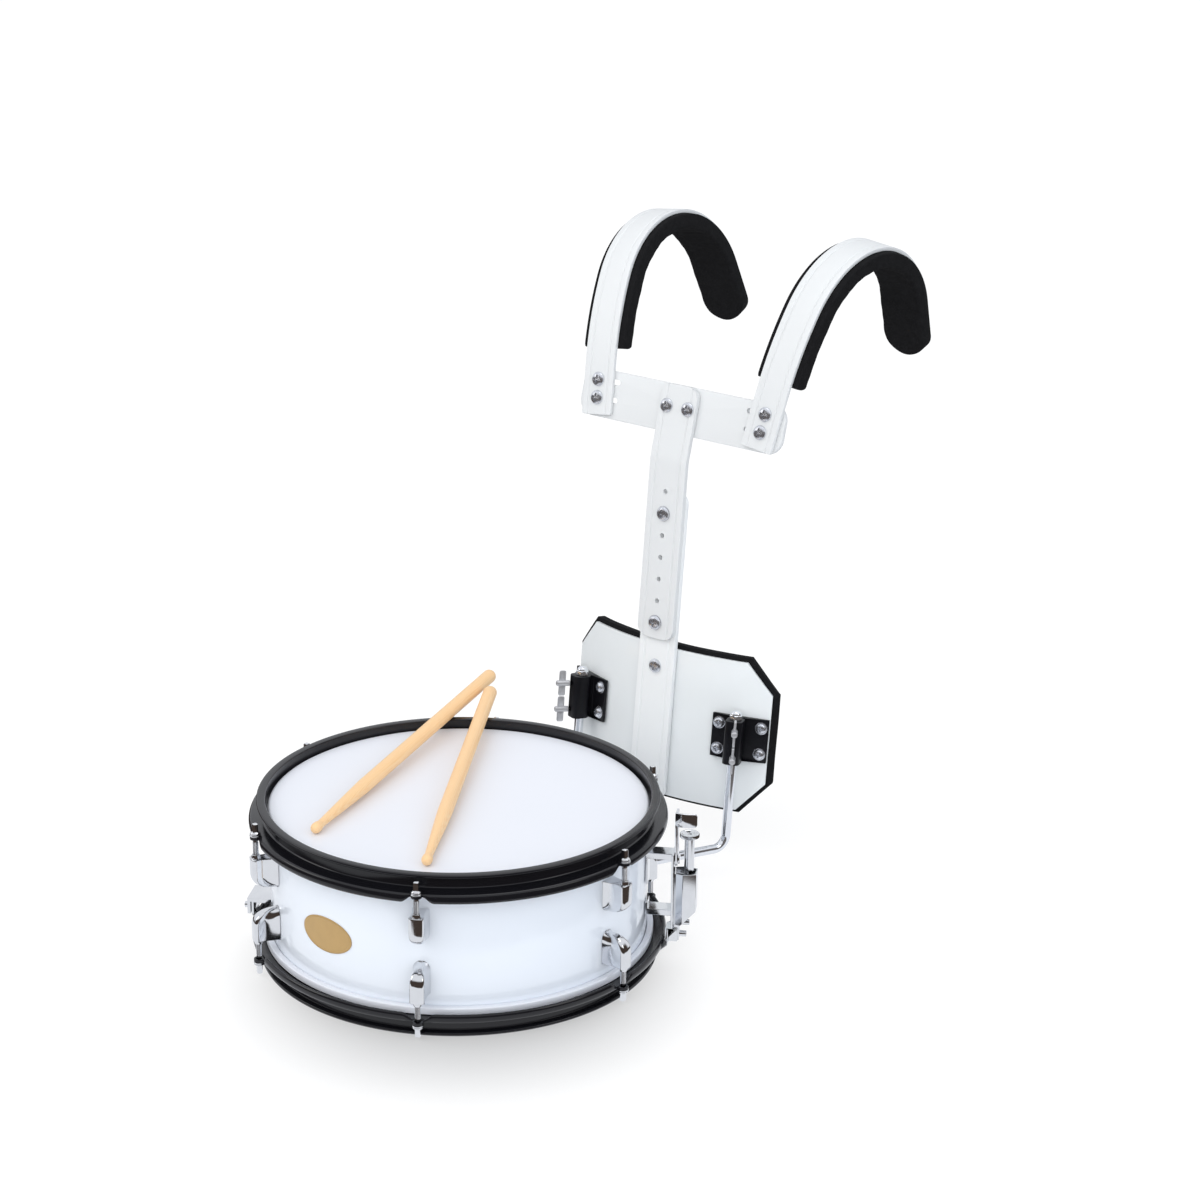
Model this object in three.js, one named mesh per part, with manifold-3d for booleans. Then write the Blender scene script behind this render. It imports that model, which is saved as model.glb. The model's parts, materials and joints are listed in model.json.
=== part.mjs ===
// Marching snare drum on its shoulder carrier, with a pair of sticks lying on the batter head.
// Millimetres, +Z up. The audience side is -Y, the player stands at +Y, the player's left is +X.

import * as THREE from "three";
import { mergeVertices } from "three/addons/utils/BufferGeometryUtils.js";
import Module from "manifold-3d";

const wasm = await Module();
wasm.setup();

// Sizes that every piece shares
const clearance = 0.3;
const overrun = 2;
const weld = 1e-4;
const ringSides = 72;
const wireSides = 6;
const halfTurn = Math.PI;
const degree = Math.PI / 180;

// Shell and heads
const shellDiameter = 355.6;
const shellLength = 139.7;
const shellWall = 6;
const bearingBevel = 3;
const bearingFlat = 1;
const filmThickness = 0.5;
const collarDepth = 10.5;
const fleshHoopWidth = 6;
const fleshHoopHeight = 7;

// Counterhoops
const rimOverHead = 8;
const hoopHeight = 25;
const hoopMetalThickness = 2.2;
const hoopWallGap = 2;
const rimRollWidth = 6;
const ledgeWidth = 13.5;
const earThickness = 2.8;
const earRadius = 8;
const earHoleRadius = 3.3;
const skirtWindow = 24;
const skirtCornerCut = 6;
const gateWidth = 40;

// Lugs and tension rods
const lugCount = 6;
const firstLugAngle = 30;
const rodOffset = 19;
const lugInset = 28.2;
const lugHeight = 32;
const lugFaceHeight = 20;
const lugOverRod = 5;
const lugBackWidth = 16;
const lugFrontWidth = 14.4;
const lugUnderShares = [[0.08, 0.25], [0.3, 0.6], [0.65, 0.86]];
const collarNutRadius = 4.6;
const collarNutHeight = 3.5;
const rodRadius = 2.5;
const rodBore = 3;
const rodDepth = 12;
const rodBoreDepth = 14;
const holeSides = 10;
const rodSides = 12;
const keyHeadSide = 6.4;
const keyHeadHeight = 9;
const rodWasherRadius = 6.1;
const rodWasherHeight = 3;

// Blank badge
const badgeWidth = 60;
const badgeHeight = 34;
const badgeThickness = 0.8;
const badgeFromTop = 74;
const badgeAngle = -1.5;

// Snare wires and their straps
const snareAngle = 120;
const wireCount = 20;
const wireRadius = 0.8;
const wirePitch = 2.2;
const wireLength = 290;
const endPlateLength = 14;
const endPlateThickness = 1.3;
const endPlateMargin = 2;
const strapWidth = 22;
const strapThickness = 0.6;
const strapRise = 27;
const strapTurnHeight = 12;
const strapTurnReach = 13;
const strapStandoff = 3.5;

// Strainer
const strainerWidth = 22;
const strainerPlate = 2;
const basePlateThickness = 2.2;
const strainerStandoff = 25;
const upperArmHeight = 105;
const lowerArmHeight = 48;
const armHeight = 6;
const upperBaseDrop = 26;
const lowerBaseRise = 12;
const strainerFoot = 36;
const coverFoot = 39.5;
const armWidth = 16;
const pivotHeight = 104;
const pivotRadius = 3;
const pivotHeadRadius = 5;
const pivotHeadThickness = 1.5;
const coverDepth = 20.7;
const coverWall = 1.2;
const coverTop = 91.8;
const coverNeckHalf = 8;
const coverWaistHalf = 11;
const coverFrontHalf = 7.5;
const coverWaistShare = 0.42;
const coverChamferHeight = 14;
const coverChamferDepth = 14;
const leverThickness = 2.5;
const leverWidth = 14;
const leverTop = 152.5;
const tabHeight = 14;
const tabReach = 18;
const tabThickness = 2;
const tabBulge = 1.6;
const sliderHalfWidth = 5.2;
const sliderTop = 84;
const sliderBlockHeight = 19;
const sliderTongue = 5;
const clampHalfWidth = 8;
const clampFoot = 22;
const clampTop = 34.5;
const clampJaw = 2;
const clampDepth = 8.4;
const clampScrewRadius = 3;
const clampScrewLength = 8;
const sliderScrewHeight = 39.2;
const sliderScrewInset = 6;
const knobOffset = 13.3;
const knobRadius = 9.2;
const knobThickness = 4;
const knobTop = 130.6;
const knobPostRadius = 4.7;
const knobStudRadius = 2.6;
const knobBore = 3;
const knobStudLength = 12;

// Butt plate
const buttWidth = 30;
const buttBaseTop = 64;
const buttShelfHeight = 34;
const buttShelfThickness = 4;
const buttJaw = 3;

// Carrier lean and stems
const carrierFootY = 278.2;
const lowerLean = 5.5;
const extraLean = 9.7;
const stemWidth = 44;
const stemThickness = 5.5;
const stemGrooveDepth = 0.7;
const stemGrooveWidth = 2.4;
const stemGrooveInset = 6;
const stemBend = 410;
const stemBendRadius = 45;
const upperStemTop = 74.4;
const lowerStemFoot = 57.5;
const lowerStemDrop = 32;
const stemEndRadius = 12;
const holePitch = 22.5;
const holeRadius = 2.6;
const firstHoleDrop = 167;
const stemFootMargin = 16.5;
const holeCount = 7;

// Belly plate and pad
const bellyRadius = 265;
const bellyThickness = 3;
const bellyHalfWidth = 121.5;
const bellyFoot = 62.5;
const bellyTop = 217;
const bellyCutWidth = 25.5;
const bellyCutHeight = 31;
const bellyPadThickness = 10;
const bellyPadMargin = 3;
const bellyPadExtraCut = [3, 5];
const bellySegments = 10;

// Hinge brackets, wing screws and the two bent rods
const bracketX = 94.6;
const bracketMiddle = 139.6;
const bracketWidth = 58;
const bracketHeight = 45;
const bracketPlate = 3;
const tubeRadius = 10;
const tubeBore = 5.3;
const tubeOffset = 15.5;
const tubeShift = 2.4;
const jRodRadius = 4.75;
const jRodBendRadius = 14;
const jRodSides = 12;
const jRodCornerHeight = 27.3;
const capNutRadius = 7.4;
const capNutHeight = 9;
const wingSpacing = 28;
const wingTurn = 34;
const wingStudRadius = 2.6;
const wingStudLength = 14;
const wingHubLength = 9;
const wingSpan = 25;
const wingWidth = 6;
const wingThickness = 3;
const wingHubRadius = 4.2;

// Receivers on the shell that hold the bent rods
const receiverWidth = 18;
const receiverDepth = 13;
const receiverFoot = 26;
const receiverTop = 43;
const receiverAxisHeight = 34.9;
const receiverBore = 5.3;
const jRodEndGap = 3;

// Crossbar and shoulder bars
const crossbarLength = 248;
const crossbarHeight = 48.4;
const crossbarThickness = 5;
const crossbarCorner = 16;
const crossbarMiddle = 51;
const slotNear = 78;
const slotFar = 118;
const slotHeight = 5.5;
const upperSlotRise = 13.2;
const lowerSlotDrop = 5;
const shoulderX = 98.5;
const shoulderTilt = 6.8;
const shoulderFoot = 24.6;
const shoulderWidth = 36;
const shoulderThickness = 4;
const shoulderStraight = 54.5;
const firstBendRadius = 316;
const firstBendAngle = 16.1;
const archRadius = 101;
const archBendAngle = 126.9;
const shoulderTail = 51.5;
const archSteps = 20;
const firstBendSteps = 4;

// Shoulder pads
const padWidth = 50;
const padThickness = 16;
const padStart = 70;
const padOverhang = 9;
const padEdge = 3;
const padEndRadius = 22;

// Drumsticks
const stickLength = 395;
const stickRadius = 7;
const stickBeadRadius = 5;
const stickNeckRadius = 3.6;
const stickTaperLength = 90;
const stickBeadLength = 13;
const stickButtRound = 5;
const stickSides = 16;
const stickLift = 0.3;
const firstStickTip = [78.9, -135.6];
const firstStickHeading = -32;
const secondStickTip = [-46.4, -148.2];
const buttOffset = 5.6;

// Heights and radii that follow from the sizes above
const shellRadius = shellDiameter / 2;
const lowerStemTop = stemBend - lowerStemDrop;
const firstHole = stemBend - firstHoleDrop;
const upperStemFoot = firstHole - stemFootMargin;
const seatRadius = shellRadius + clearance;
const shellBottom = rimOverHead + filmThickness + clearance;
const shellTop = shellBottom + shellLength;
const batterTop = shellTop + clearance + filmThickness;
const drumHeight = batterTop + rimOverHead;
const collarInner = shellRadius + clearance;
const collarOuter = collarInner + filmThickness;
const fleshTop = batterTop - collarDepth;
const hoopInner = collarOuter + hoopWallGap;
const hoopWallOuter = hoopInner + hoopMetalThickness;
const ledgeBottom = fleshTop + clearance;
const ledgeTop = ledgeBottom + hoopMetalThickness;
const skirtOuter = hoopWallOuter + ledgeWidth;
const skirtInner = skirtOuter - hoopMetalThickness;
const skirtBottom = drumHeight - hoopHeight;
const rodCircle = shellRadius + rodOffset;
const earTop = ledgeBottom + earThickness;
const lugTop = shellTop - lugInset;
const lugFront = rodCircle + lugOverRod;
const strapRadius = skirtOuter + strapStandoff;
const strapFoot = rimOverHead - clearance - strapThickness;
const strapTop = strapFoot + strapRise;
const strainerBack = shellRadius + strainerStandoff;
const strainerFace = strainerBack + strainerPlate;
const coverFront = strainerFace + clearance + coverDepth;
const knobAxis = strainerFace + knobOffset;
const bellyFront = 2 * stemThickness + 2 * clearance;
const bellyCentre = bellyFront + bellyRadius;
const bracketAngle = Math.asin(bracketX / bellyRadius);
const bracketDepth = bellyCentre - Math.sqrt(bellyRadius ** 2 - bracketX ** 2);
const tubeX = bracketX + tubeOffset * Math.sin(bracketAngle) - tubeShift * Math.cos(bracketAngle);
const tubeDepth = bracketDepth - tubeOffset * Math.cos(bracketAngle) - tubeShift * Math.sin(bracketAngle);
const tubeTop = bracketMiddle + bracketHeight / 2;

// Finishes seen in the photograph
const finish = {
  whiteGloss: [0xf2f5fa, 0.16, 0.0],
  headFilm: [0xf4f6fb, 0.38, 0.0],
  blackPaint: [0x0c0c0e, 0.24, 0.15],
  chrome: [0xd9dce0, 0.12, 1.0],
  gold: [0xd9b14a, 0.35, 0.5],
  strapPlastic: [0xe9eaec, 0.5, 0.0],
  whitePaint: [0xf1f2f3, 0.3, 0.0],
  foam: [0x16161a, 0.95, 0.0],
  maple: [0xdcae78, 0.45, 0.0],
};

const drum = new THREE.Group();

// Geometry helpers: each one returns a closed solid that can be joined or cut
function solid(geometry) {
  geometry.deleteAttribute("normal");
  geometry.deleteAttribute("uv");
  const merged = mergeVertices(geometry, weld);
  const index = merged.index.array;
  const kept = [];
  for (let i = 0; i < index.length; i += 3) {
    const [a, b, c] = [index[i], index[i + 1], index[i + 2]];
    if (a !== b && b !== c && c !== a) kept.push(a, b, c);
  }
  const vertProperties = new Float32Array(merged.attributes.position.array);
  return new wasm.Manifold(new wasm.Mesh({ numProp: 3, vertProperties, triVerts: new Uint32Array(kept) }));
}

function block(x, y, z) {
  const geometry = new THREE.BoxGeometry(x[1] - x[0], y[1] - y[0], z[1] - z[0]);
  geometry.translate((x[0] + x[1]) / 2, (y[0] + y[1]) / 2, (z[0] + z[1]) / 2);
  return solid(geometry);
}

function bar(from, to, radius, sides) {
  const run = new THREE.Vector3().subVectors(to, from);
  const geometry = new THREE.CylinderGeometry(radius, radius, run.length(), sides);
  const along = run.clone().normalize();
  const turn = new THREE.Quaternion().setFromUnitVectors(new THREE.Vector3(0, 1, 0), along);
  geometry.applyQuaternion(turn);
  geometry.translate((from.x + to.x) / 2, (from.y + to.y) / 2, (from.z + to.z) / 2);
  return solid(geometry);
}

function upright(x, y, bottom, top, radius, sides) {
  return bar(new THREE.Vector3(x, y, bottom), new THREE.Vector3(x, y, top), radius, sides);
}

function outward(x, z, fromRadius, toRadius, radius, sides) {
  return bar(new THREE.Vector3(x, -fromRadius, z), new THREE.Vector3(x, -toRadius, z), radius, sides);
}

function turnedProfile(points, sides) {
  const outline = [...points, points[0]].map(([r, z]) => new THREE.Vector2(r, z));
  const geometry = new THREE.LatheGeometry(outline, sides);
  geometry.rotateX(halfTurn / 2);
  return solid(geometry);
}

function asShape(outline) {
  if (outline instanceof THREE.Shape) return outline;
  return new THREE.Shape(outline.map(([a, b]) => new THREE.Vector2(a, b)));
}

function prism(outline, depth, basis, curveSegments) {
  const options = { depth, bevelEnabled: false, curveSegments };
  const geometry = new THREE.ExtrudeGeometry(asShape(outline), options);
  geometry.applyMatrix4(basis);
  return solid(geometry);
}

function prismUp(outline, z, curveSegments = 8) {
  const basis = new THREE.Matrix4().makeTranslation(0, 0, z[0]);
  return prism(outline, z[1] - z[0], basis, curveSegments);
}

function prismAcross(outline, x, curveSegments = 8) {
  const [right, back, up] = axes();
  const basis = new THREE.Matrix4().makeBasis(back, up, right).setPosition(x[0], 0, 0);
  return prism(outline, x[1] - x[0], basis, curveSegments);
}

function prismDeep(outline, y, curveSegments = 8) {
  const [right, back, up] = axes();
  const basis = new THREE.Matrix4().makeBasis(right, up, back.negate()).setPosition(0, y[1], 0);
  return prism(outline, y[1] - y[0], basis, curveSegments);
}

function axes() {
  return [new THREE.Vector3(1, 0, 0), new THREE.Vector3(0, 1, 0), new THREE.Vector3(0, 0, 1)];
}

// A path sampled exactly at its own stations; the section's X always lies along "across"
class StationPath extends THREE.Curve {
  constructor(stations, across) {
    super();
    this.stations = stations;
    this.across = across;
  }
  getPoint(t, target = new THREE.Vector3()) {
    const place = t * (this.stations.length - 1);
    const i = Math.min(Math.floor(place), this.stations.length - 2);
    return target.lerpVectors(this.stations[i], this.stations[i + 1], place - i);
  }
  getUtoTmapping(u) {
    return u;
  }
  computeFrenetFrames() {
    const later = this.stations.slice(1);
    const steps = later.map((station, i) => station.clone().sub(this.stations[i]).normalize());
    const tangents = this.stations.map((station, i) => {
      const before = steps[Math.max(i - 1, 0)];
      const after = steps[Math.min(i, steps.length - 1)];
      return before.clone().add(after).normalize();
    });
    const normals = tangents.map(() => this.across);
    const binormals = tangents.map((tangent) => new THREE.Vector3().crossVectors(tangent, this.across));
    return { tangents, normals, binormals };
  }
}

function sweep(section, stations, across = new THREE.Vector3(-1, 0, 0), curveSegments = 6) {
  const extrudePath = new StationPath(stations, across);
  const options = { steps: stations.length - 1, extrudePath, curveSegments };
  return solid(new THREE.ExtrudeGeometry(asShape(section), options));
}

function roundedPlate(x, z, radius) {
  const shape = new THREE.Shape();
  shape.absarc(x[0] + radius, z[0] + radius, radius, -halfTurn, -halfTurn / 2);
  shape.absarc(x[1] - radius, z[0] + radius, radius, -halfTurn / 2, 0);
  shape.absarc(x[1] - radius, z[1] - radius, radius, 0, halfTurn / 2);
  shape.absarc(x[0] + radius, z[1] - radius, radius, halfTurn / 2, halfTurn);
  return shape;
}

function join(first, ...others) {
  return others.reduce((whole, piece) => whole.add(piece), first);
}

function cut(first, ...others) {
  return others.reduce((whole, piece) => whole.subtract(piece), first);
}

function place(name, body, [color, roughness, metalness], parent = drum) {
  const { vertProperties, triVerts, numProp } = body.getMesh();
  const geometry = new THREE.BufferGeometry();
  const positions = new Float32Array((vertProperties.length / numProp) * 3);
  for (let i = 0; i < positions.length / 3; i += 1) {
    for (let axis = 0; axis < 3; axis += 1) positions[3 * i + axis] = vertProperties[numProp * i + axis];
  }
  geometry.setAttribute("position", new THREE.BufferAttribute(positions, 3));
  geometry.setIndex([...triVerts]);
  geometry.computeVertexNormals();
  const mesh = new THREE.Mesh(geometry, new THREE.MeshStandardMaterial({ color, roughness, metalness }));
  mesh.name = name;
  parent.add(mesh);
  return mesh;
}

// A frame turned round the drum: its -Y points outwards at that angle from the audience side
function turned(angle) {
  const group = new THREE.Group();
  group.rotation.z = angle * degree;
  drum.add(group);
  return group;
}

// Turns a top piece upside down into its place at the bottom
function flip(mesh) {
  mesh.rotation.y = halfTurn;
  mesh.position.z = drumHeight;
}

// Shell with bevelled bearing edges
function makeShell() {
  const inner = shellRadius - shellWall;
  const crest = shellRadius - bearingFlat;
  const profile = [
    [inner, shellBottom + bearingBevel],
    [crest - bearingFlat, shellBottom],
    [crest, shellBottom],
    [shellRadius, shellBottom + bearingFlat],
    [shellRadius, shellTop - bearingFlat],
    [crest, shellTop],
    [crest - bearingFlat, shellTop],
    [inner, shellTop - bearingBevel],
  ];
  place("shell", turnedProfile(profile, ringSides), finish.whiteGloss);
}

// A head is its film, the collar over the bearing edge and the flesh hoop
function headBody() {
  const profile = [
    [0, batterTop - filmThickness],
    [collarInner, batterTop - filmThickness],
    [collarInner, fleshTop - fleshHoopHeight],
    [collarInner + fleshHoopWidth, fleshTop - fleshHoopHeight],
    [collarInner + fleshHoopWidth, fleshTop],
    [collarOuter, fleshTop],
    [collarOuter, batterTop - filmThickness],
    [collarOuter - filmThickness, batterTop],
    [0, batterTop],
  ];
  return turnedProfile(profile, ringSides);
}

// Triple-flanged hoop: rolled rim, wall, ledge with ears, and a skirt cut away round each ear
function hoopBody() {
  const bevel = hoopMetalThickness / 2;
  const profile = [
    [hoopInner, ledgeBottom],
    [skirtInner, ledgeBottom],
    [skirtInner, skirtBottom],
    [skirtOuter, skirtBottom],
    [skirtOuter, ledgeTop - bevel],
    [skirtOuter - bevel, ledgeTop],
    [hoopWallOuter, ledgeTop],
    [hoopWallOuter, drumHeight - hoopMetalThickness],
    [hoopWallOuter + rimRollWidth, drumHeight - hoopMetalThickness],
    [hoopWallOuter + rimRollWidth, drumHeight - bevel],
    [hoopWallOuter + rimRollWidth - bevel, drumHeight],
    [hoopInner + bevel, drumHeight],
    [hoopInner, drumHeight - bevel],
  ];
  let hoop = turnedProfile(profile, ringSides);
  const half = skirtWindow / 2;
  const windowOutline = [
    [-half - skirtCornerCut, skirtBottom - overrun],
    [half + skirtCornerCut, skirtBottom - overrun],
    [half, skirtBottom + skirtCornerCut],
    [half, ledgeBottom],
    [-half, ledgeBottom],
    [-half, skirtBottom + skirtCornerCut],
  ];
  const ear = new THREE.Shape();
  ear.moveTo(-earRadius, -skirtInner + overrun);
  ear.lineTo(-earRadius, -rodCircle);
  ear.absarc(0, -rodCircle, earRadius, halfTurn, 2 * halfTurn);
  ear.lineTo(earRadius, -skirtInner + overrun);
  for (let i = 0; i < lugCount; i += 1) {
    const angle = [0, 0, firstLugAngle + (i * 360) / lugCount];
    const window = prismDeep(windowOutline, [-skirtOuter - overrun, -skirtInner + overrun]);
    hoop = hoop.subtract(window.rotate(angle));
    hoop = hoop.add(prismUp(ear, [ledgeBottom, earTop], 4).rotate(angle));
    const hole = upright(0, -rodCircle, ledgeBottom - overrun, earTop + overrun, earHoleRadius, rodSides);
    hoop = hoop.subtract(hole.rotate(angle));
  }
  return hoop;
}

// Gates let the snare straps leave the bottom hoop between its rim and its ledge
function gatedHoopBody() {
  const half = gateWidth / 2;
  const low = ledgeTop + hoopMetalThickness;
  const high = drumHeight - hoopMetalThickness;
  const gate = [[-half, low], [half, low], [half, high], [-half, high]];
  const reach = [-hoopWallOuter - rimRollWidth - overrun, -hoopInner + overrun];
  const flipped = [-snareAngle, halfTurn / degree - snareAngle];
  const cutGate = (hoop, angle) => hoop.subtract(prismDeep(gate, reach).rotate([0, 0, angle]));
  return flipped.reduce(cutGate, hoopBody());
}

function makeHeadsAndHoops() {
  place("batter_head", headBody(), finish.headFilm);
  flip(place("snare_head", headBody(), finish.headFilm));
  place("top_hoop", hoopBody(), finish.blackPaint);
  flip(place("bottom_hoop", gatedHoopBody(), finish.blackPaint));
}

// Single-ended lug: flat top with a collar nut, upright face, rounded underside
function lugBody() {
  const reach = lugFront - seatRadius;
  const underHeight = lugHeight - lugFaceHeight;
  const under = lugUnderShares.map(([back, down]) => [
    -lugFront + back * reach,
    lugTop - lugFaceHeight - down * underHeight,
  ]);
  const side = [[-seatRadius, lugTop], [-lugFront, lugTop], [-lugFront, lugTop - lugFaceHeight],
    ...under, [-seatRadius, lugTop - lugHeight]];
  const back = lugBackWidth / 2;
  const front = lugFrontWidth / 2;
  const top = [[-back, -seatRadius], [-front, -lugFront], [front, -lugFront], [back, -seatRadius]];
  const face = new THREE.Shape();
  face.moveTo(back, lugTop);
  face.lineTo(-back, lugTop);
  face.lineTo(-back, lugTop - lugHeight + back);
  face.absarc(0, lugTop - lugHeight + back, back, halfTurn, 2 * halfTurn);
  face.lineTo(back, lugTop);
  const body = prismAcross(side, [-back, back])
    .intersect(prismUp(top, [lugTop - lugHeight - overrun, lugTop]))
    .intersect(prismDeep(face, [-lugFront - overrun, -shellRadius], 4));
  const nut = upright(0, -rodCircle, lugTop - overrun, lugTop + collarNutHeight, collarNutRadius, rodSides);
  const boreFoot = lugTop + collarNutHeight - rodBoreDepth;
  const bore = upright(0, -rodCircle, boreFoot, lugTop + collarNutHeight + overrun, rodBore, rodSides);
  return cut(join(body, nut), bore);
}

// Tension rod: square key head, washer and threaded shank that ends inside the lug
function tensionRodBody() {
  const foot = lugTop + collarNutHeight - rodDepth;
  const washerFoot = earTop + clearance;
  const washerTop = washerFoot + rodWasherHeight;
  const half = keyHeadSide / 2;
  const shank = upright(0, -rodCircle, foot, washerFoot + overrun / 2, rodRadius, rodSides);
  const washer = upright(0, -rodCircle, washerFoot, washerTop, rodWasherRadius, rodSides);
  const headSpan = [washerTop - overrun / 2, washerTop + keyHeadHeight];
  const head = block([-half, half], [-rodCircle - half, -rodCircle + half], headSpan);
  return join(shank, washer, head);
}

function makeLugsAndRods() {
  for (let i = 0; i < lugCount; i += 1) {
    const frame = turned(firstLugAngle + (i * 360) / lugCount);
    place(`upper_lug_${i + 1}`, lugBody(), finish.chrome, frame);
    flip(place(`lower_lug_${i + 1}`, lugBody(), finish.chrome, frame));
    place(`top_tension_rod_${i + 1}`, tensionRodBody(), finish.chrome, frame);
    flip(place(`bottom_tension_rod_${i + 1}`, tensionRodBody(), finish.chrome, frame));
  }
}

// Blank oval badge that follows the shell
function makeBadge() {
  const oval = new THREE.Shape();
  oval.absellipse(0, shellTop - badgeFromTop, badgeWidth / 2, badgeHeight / 2, 0, 2 * halfTurn);
  const slice = prismDeep(oval, [-seatRadius - overrun * badgeThickness, 0], 12);
  const low = shellTop - badgeFromTop - badgeHeight;
  const high = shellTop - badgeFromTop + badgeHeight;
  const outer = seatRadius + badgeThickness;
  const corners = [[seatRadius, low], [outer, low], [outer, high], [seatRadius, high]];
  const band = turnedProfile(corners, ringSides);
  place("badge", slice.intersect(band.rotate([0, 0, -badgeAngle])), finish.gold, turned(badgeAngle));
}

// Snare wires lie under the snare head, joined to a plate at each end
function makeSnares(frame) {
  const wireHeight = rimOverHead - clearance - wireRadius;
  const plateTop = strapFoot - clearance;
  const halfPlate = ((wireCount - 1) * wirePitch) / 2 + endPlateMargin;
  const reach = wireLength / 2 + endPlateLength;
  let body = null;
  for (const side of [-1, 1]) {
    const y = [side * (wireLength / 2), side * reach].sort((a, b) => a - b);
    const plate = block([-halfPlate, halfPlate], y, [plateTop - endPlateThickness, plateTop]);
    body = body ? body.add(plate) : plate;
  }
  const wireReach = wireLength / 2 + endPlateLength / 2 - clearance;
  for (let i = 0; i < wireCount; i += 1) {
    const x = (i - (wireCount - 1) / 2) * wirePitch;
    const ends = [-wireReach, wireReach].map((y) => new THREE.Vector3(x, y, wireHeight));
    body = body.add(bar(...ends, wireRadius, wireSides));
  }
  place("snare_wires", body, finish.chrome, frame);
}

// A strap leaves the end plate, passes the hoop's gate and turns up into its clamp
function strapBody() {
  const low = strapFoot;
  const near = wireLength / 2 + endPlateLength / 2 + clearance;
  const inner = strapRadius;
  const outer = strapRadius + strapThickness;
  const corner = strapThickness / 2;
  const outline = [[-near, low], [-near, low + strapThickness],
    [-inner + strapTurnReach, low + strapThickness], [-inner, low + strapTurnHeight],
    [-inner, strapTop], [-outer, strapTop],
    [-outer, low + strapTurnHeight - corner], [-inner + strapTurnReach - corner, low]];
  return prismAcross(outline.reverse(), [-strapWidth / 2, strapWidth / 2]);
}

// Strainer frame: two arms on base plates carry the back plate and the lever's pivot pin
function makeStrainerFrame(frame) {
  const half = strainerWidth / 2;
  const base = [-seatRadius - basePlateThickness, -seatRadius];
  const arm = [-armWidth / 2, armWidth / 2];
  const reach = [-strainerBack - strainerPlate / 2, -seatRadius];
  const upperTop = upperArmHeight + armHeight;
  const arms = [
    block(arm, base, [upperArmHeight - upperBaseDrop, upperTop]),
    block(arm, base, [lowerArmHeight, lowerArmHeight + lowerBaseRise]),
    block(arm, reach, [upperArmHeight, upperTop]),
    block(arm, reach, [lowerArmHeight, lowerArmHeight + armHeight]),
    block([-half, half], [-strainerFace, -strainerBack], [strainerFoot, upperTop]),
  ];
  const leverFace = strainerFace + clearance + leverThickness;
  const headFoot = leverFace + clearance;
  const pin = outward(0, pivotHeight, strainerBack, headFoot + overrun / 2, pivotRadius, rodSides);
  const head = outward(0, pivotHeight, headFoot, headFoot + pivotHeadThickness, pivotHeadRadius, rodSides);
  place("strainer_frame", join(...arms, pin, head), finish.chrome, frame);
}

// Sheet-metal cover of the strainer, open at the top and along its slanted foot
function makeStrainerCover(frame) {
  const back = strainerFace + clearance;
  const waist = back + coverDepth * coverWaistShare;
  const ring = (inset) => [
    [-coverNeckHalf + inset, -back + overrun * Math.sign(inset)],
    [-coverWaistHalf + inset, -waist],
    [-coverFrontHalf + inset, -coverFront + inset],
    [coverFrontHalf - inset, -coverFront + inset],
    [coverWaistHalf - inset, -waist],
    [coverNeckHalf - inset, -back + overrun * Math.sign(inset)],
  ];
  const outer = prismUp(ring(0), [coverFoot, coverTop]);
  const inner = prismUp(ring(coverWall), [coverFoot - overrun, coverTop + overrun]);
  const side = [[-back + overrun, coverFoot], [-coverFront + coverChamferDepth, coverFoot],
    [-coverFront, coverFoot + coverChamferHeight], [-coverFront, coverTop], [-back + overrun, coverTop]];
  const slant = prismAcross(side.reverse(), [-coverWaistHalf, coverWaistHalf]);
  place("strainer_cover", outer.intersect(slant).subtract(inner), finish.chrome, frame);
}

// Slide with its strap clamp: a tongue behind the cover, a block for the knob, two jaws below
function makeStrainerSlide(frame) {
  const back = strainerFace + 2 * clearance;
  const width = [-sliderHalfWidth, sliderHalfWidth];
  const tongue = block(width, [-back - sliderTongue, -back], [clampFoot, sliderTop]);
  const nutDepth = [-knobAxis - knobBore - overrun, -back];
  const nutBlock = block(width, nutDepth, [sliderTop - sliderBlockHeight, sliderTop]);
  const span = [-clampHalfWidth, clampHalfWidth];
  const jawBack = strapRadius - clearance - clampJaw;
  const jawFront = strapRadius + strapThickness + clearance;
  const jaws = block(span, [-jawFront - clampDepth, -jawBack], [clampFoot, clampTop]);
  const slot = block([-clampHalfWidth - overrun, clampHalfWidth + overrun],
    [-jawFront, -strapRadius + clearance], [clampFoot - overrun, strapTop + clearance]);
  const screwHeight = (clampFoot + clampTop) / 2 - overrun / 2;
  const screwFoot = jawFront + clampDepth - overrun;
  const screwEnd = screwFoot + overrun + clampScrewLength;
  const screw = outward(0, screwHeight, screwFoot, screwEnd, clampScrewRadius, rodSides);
  const slideScrewEnd = coverFront - sliderScrewInset;
  const slideScrewRadius = clampScrewRadius - clearance;
  const slideScrew = outward(0, sliderScrewHeight, back, slideScrewEnd, slideScrewRadius, rodSides);
  const boreFoot = sliderTop - knobStudLength - clearance;
  const bore = upright(0, -knobAxis, boreFoot, sliderTop + overrun, knobBore, rodSides);
  const slide = join(jaws, tongue, nutBlock, screw, slideScrew);
  place("strainer_slide", cut(slide, slot, bore), finish.chrome, frame);
}

// Knurled tension knob on its post, with a stud down into the slide
function makeKnob(frame) {
  const postFoot = sliderTop + clearance;
  const post = upright(0, -knobAxis, postFoot, knobTop - knobThickness / 2, knobPostRadius, rodSides);
  const disc = upright(0, -knobAxis, knobTop - knobThickness, knobTop, knobRadius, 2 * rodSides);
  const studFoot = sliderTop - knobStudLength;
  const stud = upright(0, -knobAxis, studFoot, postFoot + overrun, knobStudRadius, rodSides);
  place("snare_knob", join(post, disc, stud), finish.chrome, frame);
}

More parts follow.
